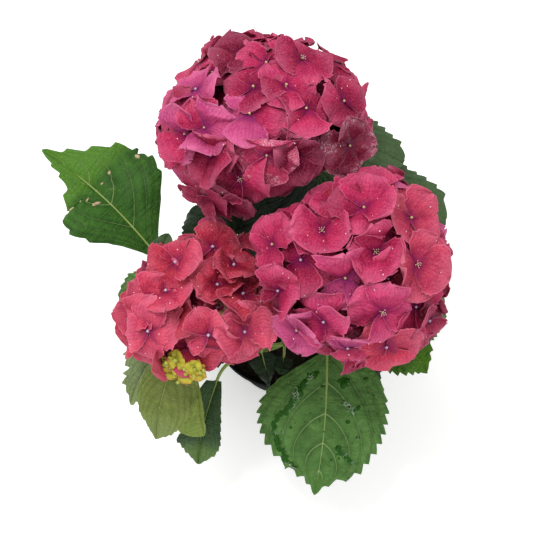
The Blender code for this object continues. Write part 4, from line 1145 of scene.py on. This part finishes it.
def florets_of(name):
    """The outer florets of a head, placed and filled, and its inner layer."""
    head, rows = HEADS[name], PLACED[name]
    dice = np.random.default_rng(head.seed)
    azimuth, polar, lift, size = np.array([row[:4] for row in rows], float).T
    point, normal = dome_at(head, np.radians(azimuth), np.radians(polar))
    origin = point + normal * lift[:, None] * MM
    tints, centres, turns, rises = zip(*(row[4:] for row in rows))
    placed = Florets(
        origin, normal, np.array(turns, float), np.array(rises, float), SEPAL_LENGTH * size,
        "".join(tints), "".join(centres))

    def deep(points):
        """8 mm up to 30 mm away from a placed floret, and from there less, to nothing at 45 mm."""
        away = np.linalg.norm(points[:, None] - origin[None], axis=-1).min(1)
        return 0.008 * np.clip((0.045 - away) / 0.015, 0, 1)

    palette, pulled = PALETTES[name], PULLED[name]
    outer = filled(name, origin, FILL_SPACING, 1.0, palette[0], dice, deep, pulled[0])
    inner = filled(
        name, [], INNER_SPACING, INNER_SHARE, palette[1], dice, lambda points: 0.0, pulled[1])
    return placed, outer, inner


# %% [markdown]
# ## Sepal finishes
# Sepals are thin and soft, with a satin sheen, a purple flush at the throat, fine veins fanning out from it
# and a paler rim; the backs are paler and duller. Part of the sheen is a painted pale frost, and a sepal is
# darker at its hidden base and paler outwards, partly its own colour and partly painted shade and painted
# light. Each tint is one plain colour with those shades laid over it from the sepal's own map, so a sepal's
# colour stays with the sepal.

# %% Sepal materials
TINTS = {
    "p": "#C74076", "m": "#BC1D4A", "r": "#980F34", "d": "#740622", "w": "#560214", "v": "#CF3062",
    "c": "#CB2F47", "k": "#B92334", "b": "#AD303F", "o": "#D8435C", "g": "#A8824E", "q": "#C6344F",
}
WET = "MD"  # wet sepals wear the tint of the small letter


def crackle(tree, place, swirl_scale, swirl, scale, reach, strength):
    """Thin bent lines, as of light in rippled water: the edges of a cell pattern whose place is
    pushed about by a noise, this many metres. They fade over the reach, from strength to nothing."""
    noise = add_node(tree, "TexNoise", {}, {"Vector": place, "Scale": swirl_scale, "Detail": 2.0})
    bent = add_node(tree, "VectorMath", TIMES_PLUS, [noise.outputs["Color"], (swirl,) * 3, place])
    cells = add_node(tree, "TexVoronoi", CELL_EDGES, {"Vector": bent, "Scale": scale})
    return add_node(tree, "MapRange", SMOOTH, [cells, 0.0, reach, strength, 0.0])


def sepal_finish(name, body, throat, rim, gloss, coat, vein_strength, wet=False):
    """A sepal side. Its body colour lies in soft patches under a fine pale frost, partly the sepal's grain
    and partly a painted sheen; it pales to the rim's colour outwards and deepens inwards, partly its own
    colour and partly painted light on the outer half and painted shade at the hidden base, with eleven veins
    that fan from base to margin, the throat's colour at the base and the rim's round the edge. A wet one has
    painted glints on it: bright lines in patches, as of light on rippled water."""
    made = finish(
        name, body, Roughness=gloss, Coat_Weight=coat, Coat_Roughness=0.07, Specular_IOR_Level=0.06)
    tree = made.node_tree
    place = add_node(tree, "TexCoord", {}, {}).outputs["Object"]
    own = add_node(tree, "SeparateXYZ", {}, [add_node(tree, "UVMap", {"uv_map": "sepal"}, {})])
    along = own.outputs["Y"]
    across = add_node(tree, "Math", TIMES_PLUS, [own.outputs["X"], 2.0, -1.0])
    a = add_node(tree, "Math", {"operation": "ABSOLUTE"}, [across])

    patch = add_node(tree, "TexNoise", {}, {"Vector": place, "Scale": 110.0, "Detail": 3.0})
    soft = add_node(tree, "MapRange", {}, [patch, 0.38, 0.62])
    # The pale frost is partly the sepal's grain and partly a painted sheen.
    grain = add_node(tree, "TexNoise", {}, {"Vector": place, "Scale": 850.0, "Detail": 3.0})
    frost = add_node(tree, "MapRange", {}, [grain, 0.46, 0.72, 0.0, 0.44])
    # Paler outwards and deeper at the base: partly the sepal's own colour, partly painted light and painted
    # shade.
    paler_outward_and_light = add_node(tree, "MapRange", SMOOTH, [along, 0.40, 1.0, 0.0, 0.40])
    deeper_base_and_shade = add_node(tree, "MapRange", SMOOTH, [along, 0.05, 0.62, 0.55, 0.0])
    fan = add_node(tree, "Math", TIMES, [across, 5.5])
    wander = add_node(tree, "Math", TIMES_PLUS, [patch, 1.6, fan])
    near = add_node(tree, "Math", FOLDED, [wander, 0.5])
    vein = add_node(tree, "MapRange", SMOOTH, [near, 0.0, 0.20, vein_strength, 0.0])
    base = add_node(tree, "MapRange", SMOOTH, [along, 0.0, 0.30, 0.95, 0.0])
    outer = add_node(tree, "Math", {"operation": "MAXIMUM"}, [a, along])
    edge = add_node(tree, "MapRange", SMOOTH, [outer, 0.90, 1.0, 0.0, 0.55])
    # Colours laid over the body one by one, each as far as its node says.
    colour = linear(blend(body, throat, 0.34))
    for cover, code in (
            (soft, blend(body, rim, 0.22)), (frost, rim), (paler_outward_and_light, rim),
            (deeper_base_and_shade, blend(body, "#4A0018", 0.5)), (vein, throat), (base, throat), (edge, rim)):
        colour = add_node(tree, "Mix", RGBA, {0: cover, 6: colour, 7: linear(code)})
    if wet:
        # Painted glints: bright lines in patches, standing in for light caught on a film of water.
        painted_glint_lines = crackle(tree, place, 200.0, 0.010, 470.0, 0.08, 0.62)
        outward = add_node(tree, "Math", TIMES_PLUS, [along, 0.35, patch])
        glint_patch = add_node(tree, "MapRange", SMOOTH, [outward, 0.73, 0.86])
        bright = add_node(tree, "Math", TIMES, [painted_glint_lines, glint_patch])
        colour = add_node(tree, "Mix", RGBA, {0: bright, 6: colour, 7: linear("#F4D6E2")})

    crumple = add_node(tree, "TexNoise", {}, {
        "Vector": place, "Scale": 210.0, "Detail": 4.0, "Roughness": 0.66})
    height = add_node(tree, "Math", TIMES_PLUS, [near, 0.16, crumple])
    relief = add_node(tree, "Bump", {}, {"Height": height, "Strength": 0.9, "Distance": 0.0030})
    feed(tree.nodes["Principled BSDF"], {"Base Color": colour, "Normal": relief})
    return made


def over_finish(key):
    """The upper side in this tint: satin, or shining wet with painted glints for a capital letter."""
    body, wet = TINTS[key.lower()], key.isupper()
    return sepal_finish(
        f"sepal_wet_{key}" if wet else f"sepal_{key}", body, blend(body, "#500C50", 0.55),
        blend(body, "#F6AECA", 0.54), 0.45 if wet else 0.55, 0.25 if wet else 0.03, 0.34, wet)


def under_finish(key):
    """The under side in this tint: paler, duller, the veins a little plainer."""
    body = TINTS[key.lower()]
    return sepal_finish(
        "sepal_under_" + key, blend(body, "#D68CA8", 0.32), blend(body, "#8E2F5C", 0.5),
        blend(body, "#E8B4C6", 0.5), 0.6, 0.0, 0.25)


SEPAL_KEYS = [*TINTS, *WET]
sepal_over = {key: over_finish(key) for key in SEPAL_KEYS}
sepal_under = {key: under_finish(key) for key in SEPAL_KEYS}

# %% [markdown]
# ## Sepals
# Every sepal is one small grid. It is a broad rhombus with soft corners: its half-width is
# (1 - t^p)^q, where t runs from 0 at the widest place to 1 at the base and at the tip. The midline
# arches or curls back, the blade is cupped, rolled or pleated, two low waves and a finer one
# crumple it, the margin ripples and a crease follows the midline. The four overlap, so a floret
# looks nearly square.

# %% Sepal surfaces
SEPAL_THICKNESS = 0.0004
CROWN_HEIGHT, PRESSED = 0.366, 0.7  # sepals above this height lose this share of the excess


def sepal_grids(florets, rows, columns, dice):
    """Middle surfaces of four sepals a floret, as (sepals, rows, columns, 3). A point is v lengths
    ahead, u half-widths to the side, and up by the sum of the shape's arch, curl, roll, pleat and
    waves. some and few deal a number to each sepal, or to a share of the sepals."""
    count = len(florets.origin) * 4
    normal = np.repeat(florets.normal, 4, axis=0)
    steady = np.where(np.abs(normal[:, :1]) < 0.95, [[1.0, 0, 0]], [[0, 1.0, 0]])
    east = unit(steady - normal * (normal * steady).sum(1, keepdims=True))
    north = np.cross(normal, east)
    turn, rise = np.radians(florets.turns).reshape(-1, 1), np.radians(florets.rises).reshape(-1, 1)
    ahead = np.cos(rise) * (np.cos(turn) * east + np.sin(turn) * north) + np.sin(rise) * normal
    over = unit(normal - ahead * (normal * ahead).sum(1, keepdims=True))
    side = np.cross(ahead, over)
    lean = dice.normal(0, 0.16, (count, 1))
    side, over = side * np.cos(lean) + over * np.sin(lean), over * np.cos(lean) - side * np.sin(lean)

    def some(low, high):
        return dice.uniform(low, high, (count, 1, 1))

    def few(share, low, high):
        return np.where(some(0, 1) < share, some(low, high), 0.0)

    length = np.repeat(florets.length, 4)[:, None, None] * some(0.96, 1.03)
    s = np.linspace(0, 1, rows)[None, :, None]
    v = 0.02 + 0.97 * s
    u = np.linspace(-1, 1, columns)[None, None]
    widest = some(0.54, 0.68)
    t = np.abs(np.where(v < widest, (v - widest) / widest, (v - widest) / (1 - widest)))
    half = (1 - t ** some(1.45, 2.0)) ** some(0.66, 0.84) * some(0.56, 0.74) * length
    ragged = 1 + dice.normal(0, 0.045, (count, rows, 2)) * (t[..., :1] < 0.9)
    half = half * np.where(u < 0, ragged[..., :1], ragged[..., 1:])
    x = u * half

    arch = -0.16 * np.sin(rise)[:, :, None] + some(-0.06, 0.10)
    curl = some(-0.05, 0.16) + few(0.25, 0.1, 0.45)
    roll = some(-0.30, 0.42) - few(0.20, 0.4, 0.9)
    pleat = some(-0.16, 0.16)
    height = length * (arch * 2 * v * (1 - v) - curl * v ** 4)
    height = height + roll * x ** 2 / length + pleat * np.abs(x) * np.sin(math.pi * v)
    for share, turns_a_blade in ((0.044, 0.9), (0.038, 1.9)):
        heading = some(0, 2 * math.pi)
        phase = turns_a_blade * (v * np.cos(heading) + u * 0.6 * np.sin(heading)) + some(0, 1)
        height = height + share * length * np.sin(2 * math.pi * phase) * (0.25 + v)
    # The finer wave takes its heading and phase from the sepal's number.
    number = np.arange(count)[:, None, None]
    heading, phase = number * 2.4, number * 0.618
    bend = 0.7 * np.sin(5 * v + 3 * u + phase)
    crumple = 3.9 * (v * np.cos(heading) + u * 0.6 * np.sin(heading)) + phase + bend
    height = height + 0.011 * length * np.sin(2 * math.pi * crumple) * (0.4 + v) * (1 - v ** 6)
    ripple = np.sin(2 * math.pi * (some(1.1, 2.2) * v + some(0, 1)) + 1.7 * u)
    height = height + 0.035 * length * u ** 2 * ripple
    height = height - 0.016 * length * np.exp(-(u / 0.16) ** 2) * np.sin(math.pi * v)
    sway = dice.normal(0, 0.05, (count, 1, 1)) * length * np.sin(math.pi * v)
    pair = np.tile([0.0003, -0.0003], count // 2)[:, None, None] * (1 + 3 * v)

    def along(vectors, amounts):
        return vectors[:, None, None] * amounts[..., None]

    origin = np.repeat(florets.origin, 4, axis=0)[:, None, None]
    middle = (
        origin + along(ahead, v * length + 0 * u) + along(side, x + sway)
        + along(over, height) + along(normal, pair + 0 * height))
    above = middle[..., 2] - CROWN_HEIGHT
    middle[..., 2] -= np.where(above > 0, above * PRESSED, 0)
    return middle


def sepal_arrays(middle, tints, shift, places):
    """Points, faces, finishes, baking map and own map of one lot of sepals. tints names a tint for
    each sepal. In the baking map each side has a square of its own, counted on from places."""
    count, rows, columns, _ = middle.shape
    points, *parts = sheet(middle, SEPAL_THICKNESS)
    stride = 2 * rows * columns
    across, along = np.linspace(0, 1, columns)[None, None], np.linspace(0, 1, rows)[None, :, None]
    flat = np.stack(np.broadcast_arrays(across, along), -1).reshape(1, 1, -1, 2)
    own = np.tile(flat[0], (count, 2, 1))
    first, squares = places
    number = (first + np.arange(2 * count)).reshape(count, 2, 1)
    square = np.stack([number % squares, number // squares], -1)
    inner = (square + 0.5 + (flat - 0.5) * 0.84) / squares
    outer = (square[:, :1] + 0.5 + (flat - 0.5) * 0.95) / squares
    sides = np.concatenate([inner[:, 0], inner[:, 1]], 1)
    edges = np.concatenate([inner[:, 0], outer[:, 0]], 1)
    sheets = np.arange(count)[:, None, None]
    local = [part - sheets * stride for part in parts]
    tint = np.array([SEPAL_KEYS.index(letter) for letter in tints])[:, None]
    backs = (0, len(SEPAL_KEYS), 0)  # the under sides wear the second half of the finishes
    wears = [np.broadcast_to(tint + back, part.shape[:2]).ravel() for back, part in zip(backs, parts)]
    faces, bake, maps = (
        np.concatenate([part.reshape(-1, part.shape[-1]) for part in found]) for found in (
            [part + shift for part in parts],
            [cover[sheets, part] for cover, part in zip((sides, sides, edges), local)],
            [own[sheets, part] for part in local]))
    return points, faces, np.concatenate(wears), bake, maps


# A share of the sepals wear a neighbour of their floret's tint.
NEIGHBOUR = dict(zip("pmrdwckbogvqMD", "mrmrdkckccpcMD"))
NEIGHBOUR_SHARE = 0.18
heads, dewy = {}, {}
for name in HEADS:
    placed, outer, inner = florets_of(name)
    dice = np.random.default_rng(HEADS[name].seed + 400)
    heads[name] = (placed, outer, inner)
    lots = [(placed, 17, 11), (outer, 13, 9), (inner, 6, 5)]  # with rows and columns
    total = 2 * 4 * sum(len(lot[0].origin) for lot in lots)
    squares = math.ceil(math.sqrt(total))
    first, shift, arrays = 0, 0, []
    for lot, rows, columns in lots:
        middle = sepal_grids(lot, rows, columns, dice)
        if lot is placed:
            dewy[name] = middle
        tints = [letter for letter in lot.tints for _ in range(4)]
        tints = [NEIGHBOUR[t] if dice.uniform() < NEIGHBOUR_SHARE else t for t in tints]
        arrays.append(sepal_arrays(middle, tints, shift, (first, squares)))
        first += 2 * len(middle)
        shift += len(arrays[-1][0])
    points, faces, wears, bake, local = (np.concatenate(parts) for parts in zip(*arrays))
    made = piece(
        name + "_sepals", points, [faces], [*sepal_over.values(), *sepal_under.values()], wears,
        {"sepal": local, "OFBake": bake}, sharp=70)
    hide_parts(name)
    print(name, "florets:", [len(lot.origin) for lot in heads[name]])

# %% [markdown]
# ## Inside a head: branches and pedicels
# The stalk splits into seven branches, and each floret stands on its own thin pedicel from the
# nearest branch. They are pale pink-green and show only in the gaps.

# %% Branches
# Pedicel skin: pale green flushed pink, satin.
pedicel_skin = mottled(
    finish("pedicel_skin", "#B8A277", Roughness=0.5), "#A3A86A", "#B4607A", {"Scale": 45.0})
BRANCH_LEANS = (52, 66, 48, 70, 55, 64, 50)  # degrees from the head's axis
LIMB_STEPS, LIMB_SIDES = 8, 8
STALK_RADII, LIMB_RADII = (0.0034, 0.0026), (0.0018, 0.0013)
PEDICEL_RADIUS, PEDICEL_STEPS, PEDICEL_SIDES = 0.0007, 7, 5
PEDICEL_STOP = 0.0012  # how far under its floret a pedicel ends

for name, head in HEADS.items():
    axis = direction(*head.axis)
    foot = head_foot(head)
    fork = head.centre - axis * head.hem * 0.35
    turn = head_turn(head)
    branches = len(BRANCH_LEANS)
    around, lean = np.radians(np.arange(branches) * 360 / branches), np.radians(np.array(BRANCH_LEANS))
    reach = circled(np.sin(lean), around, np.cos(lean))
    ends = fork + (reach @ turn.T) * head.radius * 0.42
    ends = np.concatenate([ends, [fork + axis * head.dome * 0.55]])
    starts = np.broadcast_to(fork, ends.shape)
    rise = np.linalg.norm(ends - fork, axis=1, keepdims=True)
    controls = np.stack([starts, starts + axis * rise * 0.35, ends - (ends - starts) * 0.25, ends], 1)
    limbs = bezier(controls, np.linspace(0, 1, LIMB_STEPS))
    stalk = (foot + (fork - foot) * np.linspace(0.02, 1, LIMB_STEPS)[:, None])[None]
    radii = np.linspace(*np.array([STALK_RADII] + [LIMB_RADII] * len(limbs)).T, LIMB_STEPS, axis=1)
    points, walls, caps = tubes(np.concatenate([stalk, limbs]), radii, LIMB_SIDES)
    origins = np.concatenate([lot.origin - lot.normal * PEDICEL_STOP for lot in heads[name]])
    normals = np.concatenate([lot.normal for lot in heads[name]])
    knots = limbs[:, 4:].reshape(-1, 3)
    nearest = knots[np.linalg.norm(origins[:, None] - knots[None], axis=-1).argmin(1)]
    gap = np.linalg.norm(origins - nearest, axis=1, keepdims=True)
    leave = nearest + unit(nearest - fork + axis * 0.01) * gap * 0.3
    controls = np.stack([nearest, leave, origins - normals * gap * 0.35, origins], 1)
    lines = bezier(controls, np.linspace(0, 1, PEDICEL_STEPS))
    pedicels, thin_walls, thin_caps = tubes(
        lines, np.full((1, PEDICEL_STEPS), PEDICEL_RADIUS), PEDICEL_SIDES)
    made = piece(
        name + "_branches", np.concatenate([points, pedicels]),
        [walls, thin_walls + len(points), caps, thin_caps + len(points)], [pedicel_skin])

# %% [markdown]
# ## Centres of the florets
# In the middle of each floret sits its tiny true flower: mostly a closed bead, yellow or lilac,
# here and there an open one, green inside a ring of cream stamens. A bead and a ring are made once
# each, and their copies are stamped on the florets.

# %% Beads and stamens
# Bead skins: waxy, smooth, with a faint sheen. Anthers: matt cream.
bead_skins = [
    mottled(finish(name, code, Roughness=gloss), code, "#C9A9B4", {"Scale": 700.0}, mode="MULTIPLY")
    for name, code, gloss in (
        ("bead_yellow", "#DCCB93", 0.35), ("bead_lilac", "#D9CCE6", 0.35),
        ("anther_cream", "#EFE6CB", 0.7), ("bead_green", "#B4C648", 0.4))]
YELLOW, LILAC, CREAM, GREEN = range(len(bead_skins))

BEAD_RADII = {"flower_head_back": 0.0010, "flower_head_right": 0.0011, "flower_head_left": 0.0013}
BEAD_LIFT = 0.0013
OPEN_BEAD = 0.62  # the green bead of an open flower, beside a closed one
# A bead is a ball with four faint lobes, a little flattened.
bead = ball(8, 5)
swirl = 1 + 0.09 * np.cos(4 * np.arctan2(bead[0][:, 1], bead[0][:, 0]))
bead = (bead[0] * np.stack([swirl, swirl, np.full(len(swirl), 0.95)], -1), *bead[1:])
anther = ball(5, 2)
STAMENS = 8
STAMEN_LENGTH, STAMEN_RADIUS, ANTHER_SIZE = 2.6, 0.09, 0.36  # in radii of the bead
around = full_turn(STAMENS)
lean = np.radians(np.tile([28, 58], STAMENS // 2))
aim = circled(np.sin(lean), around, np.cos(lean))
threads = aim[:, None] * np.linspace(0.1, STAMEN_LENGTH, 3)[None, :, None]
thread, thread_walls, thread_caps = tubes(threads, np.full((1, 3), STAMEN_RADIUS), 3)
tips, tip_quads, tip_fans = stamped(
    anther, np.tile(np.eye(3) * ANTHER_SIZE, (STAMENS, 1, 1)), aim * STAMEN_LENGTH)
opened = (
    np.concatenate([thread, tips]), np.concatenate([thread_walls, tip_quads + len(thread)]),
    np.concatenate([thread_caps, tip_fans + len(thread)]))

for name in HEADS:
    placed, outer, _ = heads[name]
    origin = np.concatenate([placed.origin, outer.origin])
    normal = np.concatenate([placed.normal, outer.normal])
    letters = placed.centres + outer.centres
    points, quads, fans, quad_wears, fan_wears, shift = [], [], [], [], [], 0
    for kinds, shape, wear in (
            ("y", bead, YELLOW), ("lpg", bead, LILAC), ("o", bead, GREEN), ("o", opened, CREAM)):
        at = np.array([k for k, letter in enumerate(letters) if letter in kinds])
        if len(at) == 0:
            continue
        size = BEAD_RADII[name] * (OPEN_BEAD if wear == GREEN else 1.0)
        rest = origin[at] + normal[at] * BEAD_LIFT
        new, new_quads, new_fans = stamped(shape, frames_along(normal[at]) * size, rest)
        points.append(new)
        quads.append(new_quads + shift)
        fans.append(new_fans + shift)
        quad_wears.append(np.full(len(new_quads), wear))
        fan_wears.append(np.full(len(new_fans), wear))
        shift += len(new)
    made = piece(
        name + "_centres", np.concatenate(points), [np.concatenate(quads), np.concatenate(fans)],
        bead_skins, np.concatenate(quad_wears + fan_wears), sharp=80)

# %% [markdown]
# ## Young florets
# At the front of the left head a few florets are still opening: small, yellow-green, red at the rim, with
# green beads between them.

# %% Young florets
# Young sepals: yellow-green, with a red rim.
young_over = sepal_finish("sepal_young", "#DCE44C", "#A2B63C", "#CC7A48", 0.45, 0.1, 0.15)
young_under = sepal_finish("sepal_young_under", "#B7B76A", "#8FA048", "#B8525C", 0.6, 0.0, 0.2)
YOUNG_LENGTH, YOUNG_DEPTH = 0.0078, 0.004  # of a sepal, and how far in from the dome it starts
YOUNG_BEADS, YOUNG_BEAD_RADIUS = 4, 0.0016  # a number for each floret, and a size
head = HEADS["flower_head_left"]
dice = np.random.default_rng(88)
angles = np.radians(np.array(BUDS, float))
point, normal = dome_at(head, angles[:, 0], angles[:, 1])
count = len(point)
facing = unit(normal + UP * 0.5 + dice.normal(0, 0.12, (count, 3)))
young = Florets(
    point - normal * YOUNG_DEPTH, facing, dice.uniform(0, 90, (count, 1)) + np.arange(4) * 90.0,
    dice.uniform(18, 48, (count, 4)), np.full(count, YOUNG_LENGTH), "g" * count, "g" * count)
middle = sepal_grids(young, 9, 7, dice)
points, upper, under, rim = sheet(middle, SEPAL_THICKNESS)
rows, columns = middle.shape[1:3]
own = np.stack(np.meshgrid(np.linspace(0, 1, columns), np.linspace(0, 1, rows)), -1).reshape(-1, 2)
own = np.tile(own, (2 * len(middle), 1))
faces = np.concatenate([part.reshape(-1, 4) for part in (upper, under, rim)])
wears = np.repeat([0, 1, 0], [part.size // 4 for part in (upper, under, rim)])
made = piece(
    "young_florets", points, [faces], [young_over, young_under], wears,
    {"sepal": own[faces].reshape(-1, 2)}, sharp=70)
spots = np.repeat(young.origin + young.normal * 0.003, YOUNG_BEADS, axis=0)
spots = spots + dice.normal(0, 0.0028, (count * YOUNG_BEADS, 3))
frames = frames_along(np.repeat(facing, YOUNG_BEADS, axis=0)) * YOUNG_BEAD_RADIUS
points, quads, fans = stamped(bead, frames, spots)
made = piece("young_beads", points, [quads, fans], [bead_skins[GREEN]], sharp=80)

# %% [markdown]
# ## Water drops, dew and dry flecks
# The plant has just been watered. A drop is a low dome on a leaf, drawn in the deep green of the wet blade
# under it. The large drops stand in a table, some run together in pools, and small ones are scattered. The
# big side leaf has a few dry tan flecks where its tissue tore, and tiny beads of dew, pale as painted
# glints, sit on the sepals. Drops and flecks are one flattened ball, stamped with its own stretch each time;
# the dew is a small round ball.

# %% Water drops, dew and dry flecks
# Water on a leaf: as deep a green as the wet blade seen through it, smooth but for a faint ripple, with
# painted gleams: bright lines in patches along the ripple, standing in for reflected light.
water = finish(
    "standing_water", "#1C4E08", Roughness=0.08, Specular_IOR_Level=0.08, Coat_Weight=0.14,
    Coat_Roughness=0.03)
tree = water.node_tree
place = add_node(tree, "TexCoord", {}, {}).outputs["Object"]
ripple = add_node(tree, "TexNoise", {}, {"Vector": place, "Scale": 420.0, "Detail": 2.0})
relief = add_node(tree, "Bump", {}, {"Height": ripple, "Strength": 0.8, "Distance": 0.0010})
# Painted gleams: pale crackle lines in patches, for light reflected off the water.
crests = crackle(tree, place, 240.0, 0.006, 330.0, 0.09, 0.6)
spread = add_node(tree, "TexNoise", {}, {"Vector": place, "Scale": 90.0, "Detail": 1.0})
patches = add_node(tree, "MapRange", SMOOTH, [spread, 0.50, 0.62])
painted_gleam = add_node(tree, "Math", TIMES, [crests, patches])
depths = add_node(tree, "Mix", RGBA, {0: ripple, 6: linear("#0F3205"), 7: linear("#2C640F")})
tint = add_node(tree, "Mix", RGBA, {0: painted_gleam, 6: depths, 7: linear("#C6D8BC")})
feed(tree.nodes["Principled BSDF"], {"Base Color": tint, "Normal": relief})
# Dry leaf tissue: tan, papery, matt, brown in places.
dry = mottled(
    finish("dry_leaf_tissue", "#B7A27A", Roughness=0.9), "#8A6A44", "#D8C8A4",
    {"Scale": 500.0, "Detail": 3.0})

# Each row: share of the length, millimetres across, half-length and half-width in millimetres, and
# how far it is turned from the across direction, in degrees.
BIG_DROPS = {
    "leaf_front": (
        (0.198, -13.5, 4.2, 3.0, 70), (0.175, -16.5, 2.6, 2.0, 20), (0.18, -10.5, 2.4, 1.6, 40),
        (0.15, -33.0, 2.2, 1.9, 0), (0.158, 15.5, 3.0, 1.6, 120), (0.168, 11.0, 2.4, 1.3, 130),
        (0.205, 18.8, 3.2, 1.8, 110), (0.225, 2.3, 2.2, 1.2, 10), (0.333, -26.0, 2.6, 1.8, 60),
        (0.435, -20.5, 2.2, 1.7, 0), (0.53, -28.7, 2.0, 1.5, 30), (0.615, -13.7, 3.2, 2.2, 60),
        (0.63, -16.2, 2.0, 1.5, 0), (0.537, 36.8, 2.2, 1.6, 80), (0.66, 31.8, 2.6, 1.7, 100),
        (0.745, 27.8, 2.2, 1.6, 60)),
    "leaf_right_high_front": (),  # small drops only
}
# Pools are drops run together along bent lines of (share of the length, millimetres across).
POOLS = (
    ((0.143, 8.0), (0.192, 18.6), (0.244, 22.8), (0.302, 26.2), (0.377, 33.9), (0.45, 41.8),
     (0.474, 43.7), (0.566, 40.6), (0.655, 35.8), (0.733, 28.7), (0.792, 19.0)),
    ((0.615, -13.5), (0.705, -26.0)),
    ((0.17, -13.7), (0.22, -14.8)),
    ((0.323, -16.2), (0.365, -25.7)),
)
FLECKS = (  # dry flecks on the side leaf, as the drops' rows
    (0.5245, 0.0, 5.2, 1.1, -4), (0.468, -10.4, 4.9, 2.0, -21), (0.541, 18.5, 2.2, 1.4, 30),
    (0.517, -12.9, 2.6, 0.9, 25), (0.545, -16.0, 2.3, 0.8, 65), (0.564, -26.7, 3.2, 1.8, -15),
    (0.53, 8.0, 1.6, 1.1, 0), (0.49, 46.0, 3.6, 1.9, 70))
SMALL_DROPS, POOL_STEP = 40, 2.4  # a number, and millimetres
POOL_LIFT, DROP_LIFT = 0.22, 0.6  # height over half-width
dice = np.random.default_rng(140)
drop = ball(10, 5)


def on_blade(name, rows, height):
    """Frames and places for things that lie on a leaf's upper side, by rows of the table. Each is
    at the nearest point of the grid; its x axis turns from the across direction, its z is out, and
    its axes are as long as its half-sizes, the last being height times the half-width."""
    leaf, rows = LEAVES[name], np.array(rows, float)
    surface, own, real = blade_surface(name, leaf, 300 + list(LEAVES).index(name))
    across, along = unit(np.gradient(surface, axis=1)), np.gradient(surface, axis=0)
    length = np.linalg.norm(place_at(*leaf.tip) - place_at(*leaf.base))
    away = np.hypot(
        (own[..., 1] - rows[:, :1, None]) * length, real[..., 0] / 10 - rows[:, 1:2, None] * MM)
    row, column = np.unravel_index(away.reshape(len(rows), -1).argmin(1), away.shape[1:])
    east = across[row, column]
    out = unit(np.cross(east, along[row, column]))
    north = np.cross(out, east)
    turn = np.radians(rows[:, 4:])
    axes = np.stack([
        np.cos(turn) * east + np.sin(turn) * north, np.cos(turn) * north - np.sin(turn) * east, out], 1)
    sizes = np.stack([rows[:, 2], rows[:, 3], rows[:, 3] * height], 1) * MM
    return surface[row, column] + out * BLADE_THICKNESS / 2, axes * sizes[:, :, None]


def pooled(line, length):
    """Rows of overlapping drops, evenly spaced along a bent line and each turned along it."""
    places = np.array(line) * [length, 1]
    run = np.concatenate([[0], np.cumsum(np.linalg.norm(np.diff(places, axis=0), axis=1))])
    at = np.arange(0, run[-1], POOL_STEP)
    along, across = np.interp(at, run, places[:, 0]), np.interp(at, run, places[:, 1])
    turn = np.degrees(np.arctan2(np.gradient(along), np.gradient(across)))
    return np.stack([
        along / length, across + dice.uniform(-1.4, 1.4, len(at)), dice.uniform(2.4, 3.6, len(at)),
        dice.uniform(1.6, 3.4, len(at)), turn + dice.uniform(-20, 20, len(at))], -1)


lots = []
front = LEAVES["leaf_front"]
front_length = np.linalg.norm(place_at(*front.tip) - place_at(*front.base)) / MM
lots += [on_blade("leaf_front", pooled(line, front_length), POOL_LIFT) for line in POOLS]
for name, big in BIG_DROPS.items():
    half = LEAVES[name].width / 2 / MM * 0.7
    size = dice.uniform(0.4, 1.0, SMALL_DROPS)
    small = np.stack([
        dice.uniform(0.15, 0.85, SMALL_DROPS), dice.uniform(-half, half, SMALL_DROPS), size * 1.2, size,
        dice.uniform(0, 180, SMALL_DROPS)], -1)
    lots.append(on_blade(name, [*small, *big], DROP_LIFT))
spots, frames = (np.concatenate(parts) for parts in zip(*lots))
points, quads, fans = stamped(drop, frames, spots)
made = piece("water_drops", points, [quads, fans], [water], sharp=80)

# Dew on the sepals: too small to look through, so each bead is a bright dot, a painted glint.
dew = mottled(finish("dew_painted_glints", "#F6E4EC", Roughness=0.08), "#E8C4D4", "#FFFFFF", {"Scale": 900.0})
DEW = {"flower_head_back": 40, "flower_head_right": 90, "flower_head_left": 60}
dice = np.random.default_rng(160)
bead = ball(6, 4)
places, sizes = [], []
for name, count in DEW.items():
    grids = dewy[name]
    sepal = dice.integers(0, len(grids), count)
    row, column = dice.integers(4, 16, count), dice.integers(2, 9, count)
    spot = grids[sepal, row, column]
    east = grids[sepal, row, column + 1] - spot
    out = unit(np.cross(east, grids[sepal, row - 1, column] - spot))
    out = out * np.sign((out * np.repeat(heads[name][0].normal, 4, axis=0)[sepal]).sum(1))[:, None]
    places.append(spot + out * SEPAL_THICKNESS / 2)
    sizes.append(dice.uniform(0.25, 0.6, count) * MM)
places, sizes = np.concatenate(places), np.concatenate(sizes)
points, quads, fans = stamped(bead, np.eye(3) * sizes[:, None, None], places)
made = piece("dew", points, [quads, fans], [dew], sharp=80)

spots, frames = on_blade("leaf_side", FLECKS, DROP_LIFT)
ragged = drop[0] * dice.uniform(0.6, 1.25, (len(spots), len(drop[0]), 1))
points, quads, fans = stamped((ragged, *drop[1:]), frames, spots)
made = piece("dry_flecks", points, [quads, fans], [dry], sharp=80)
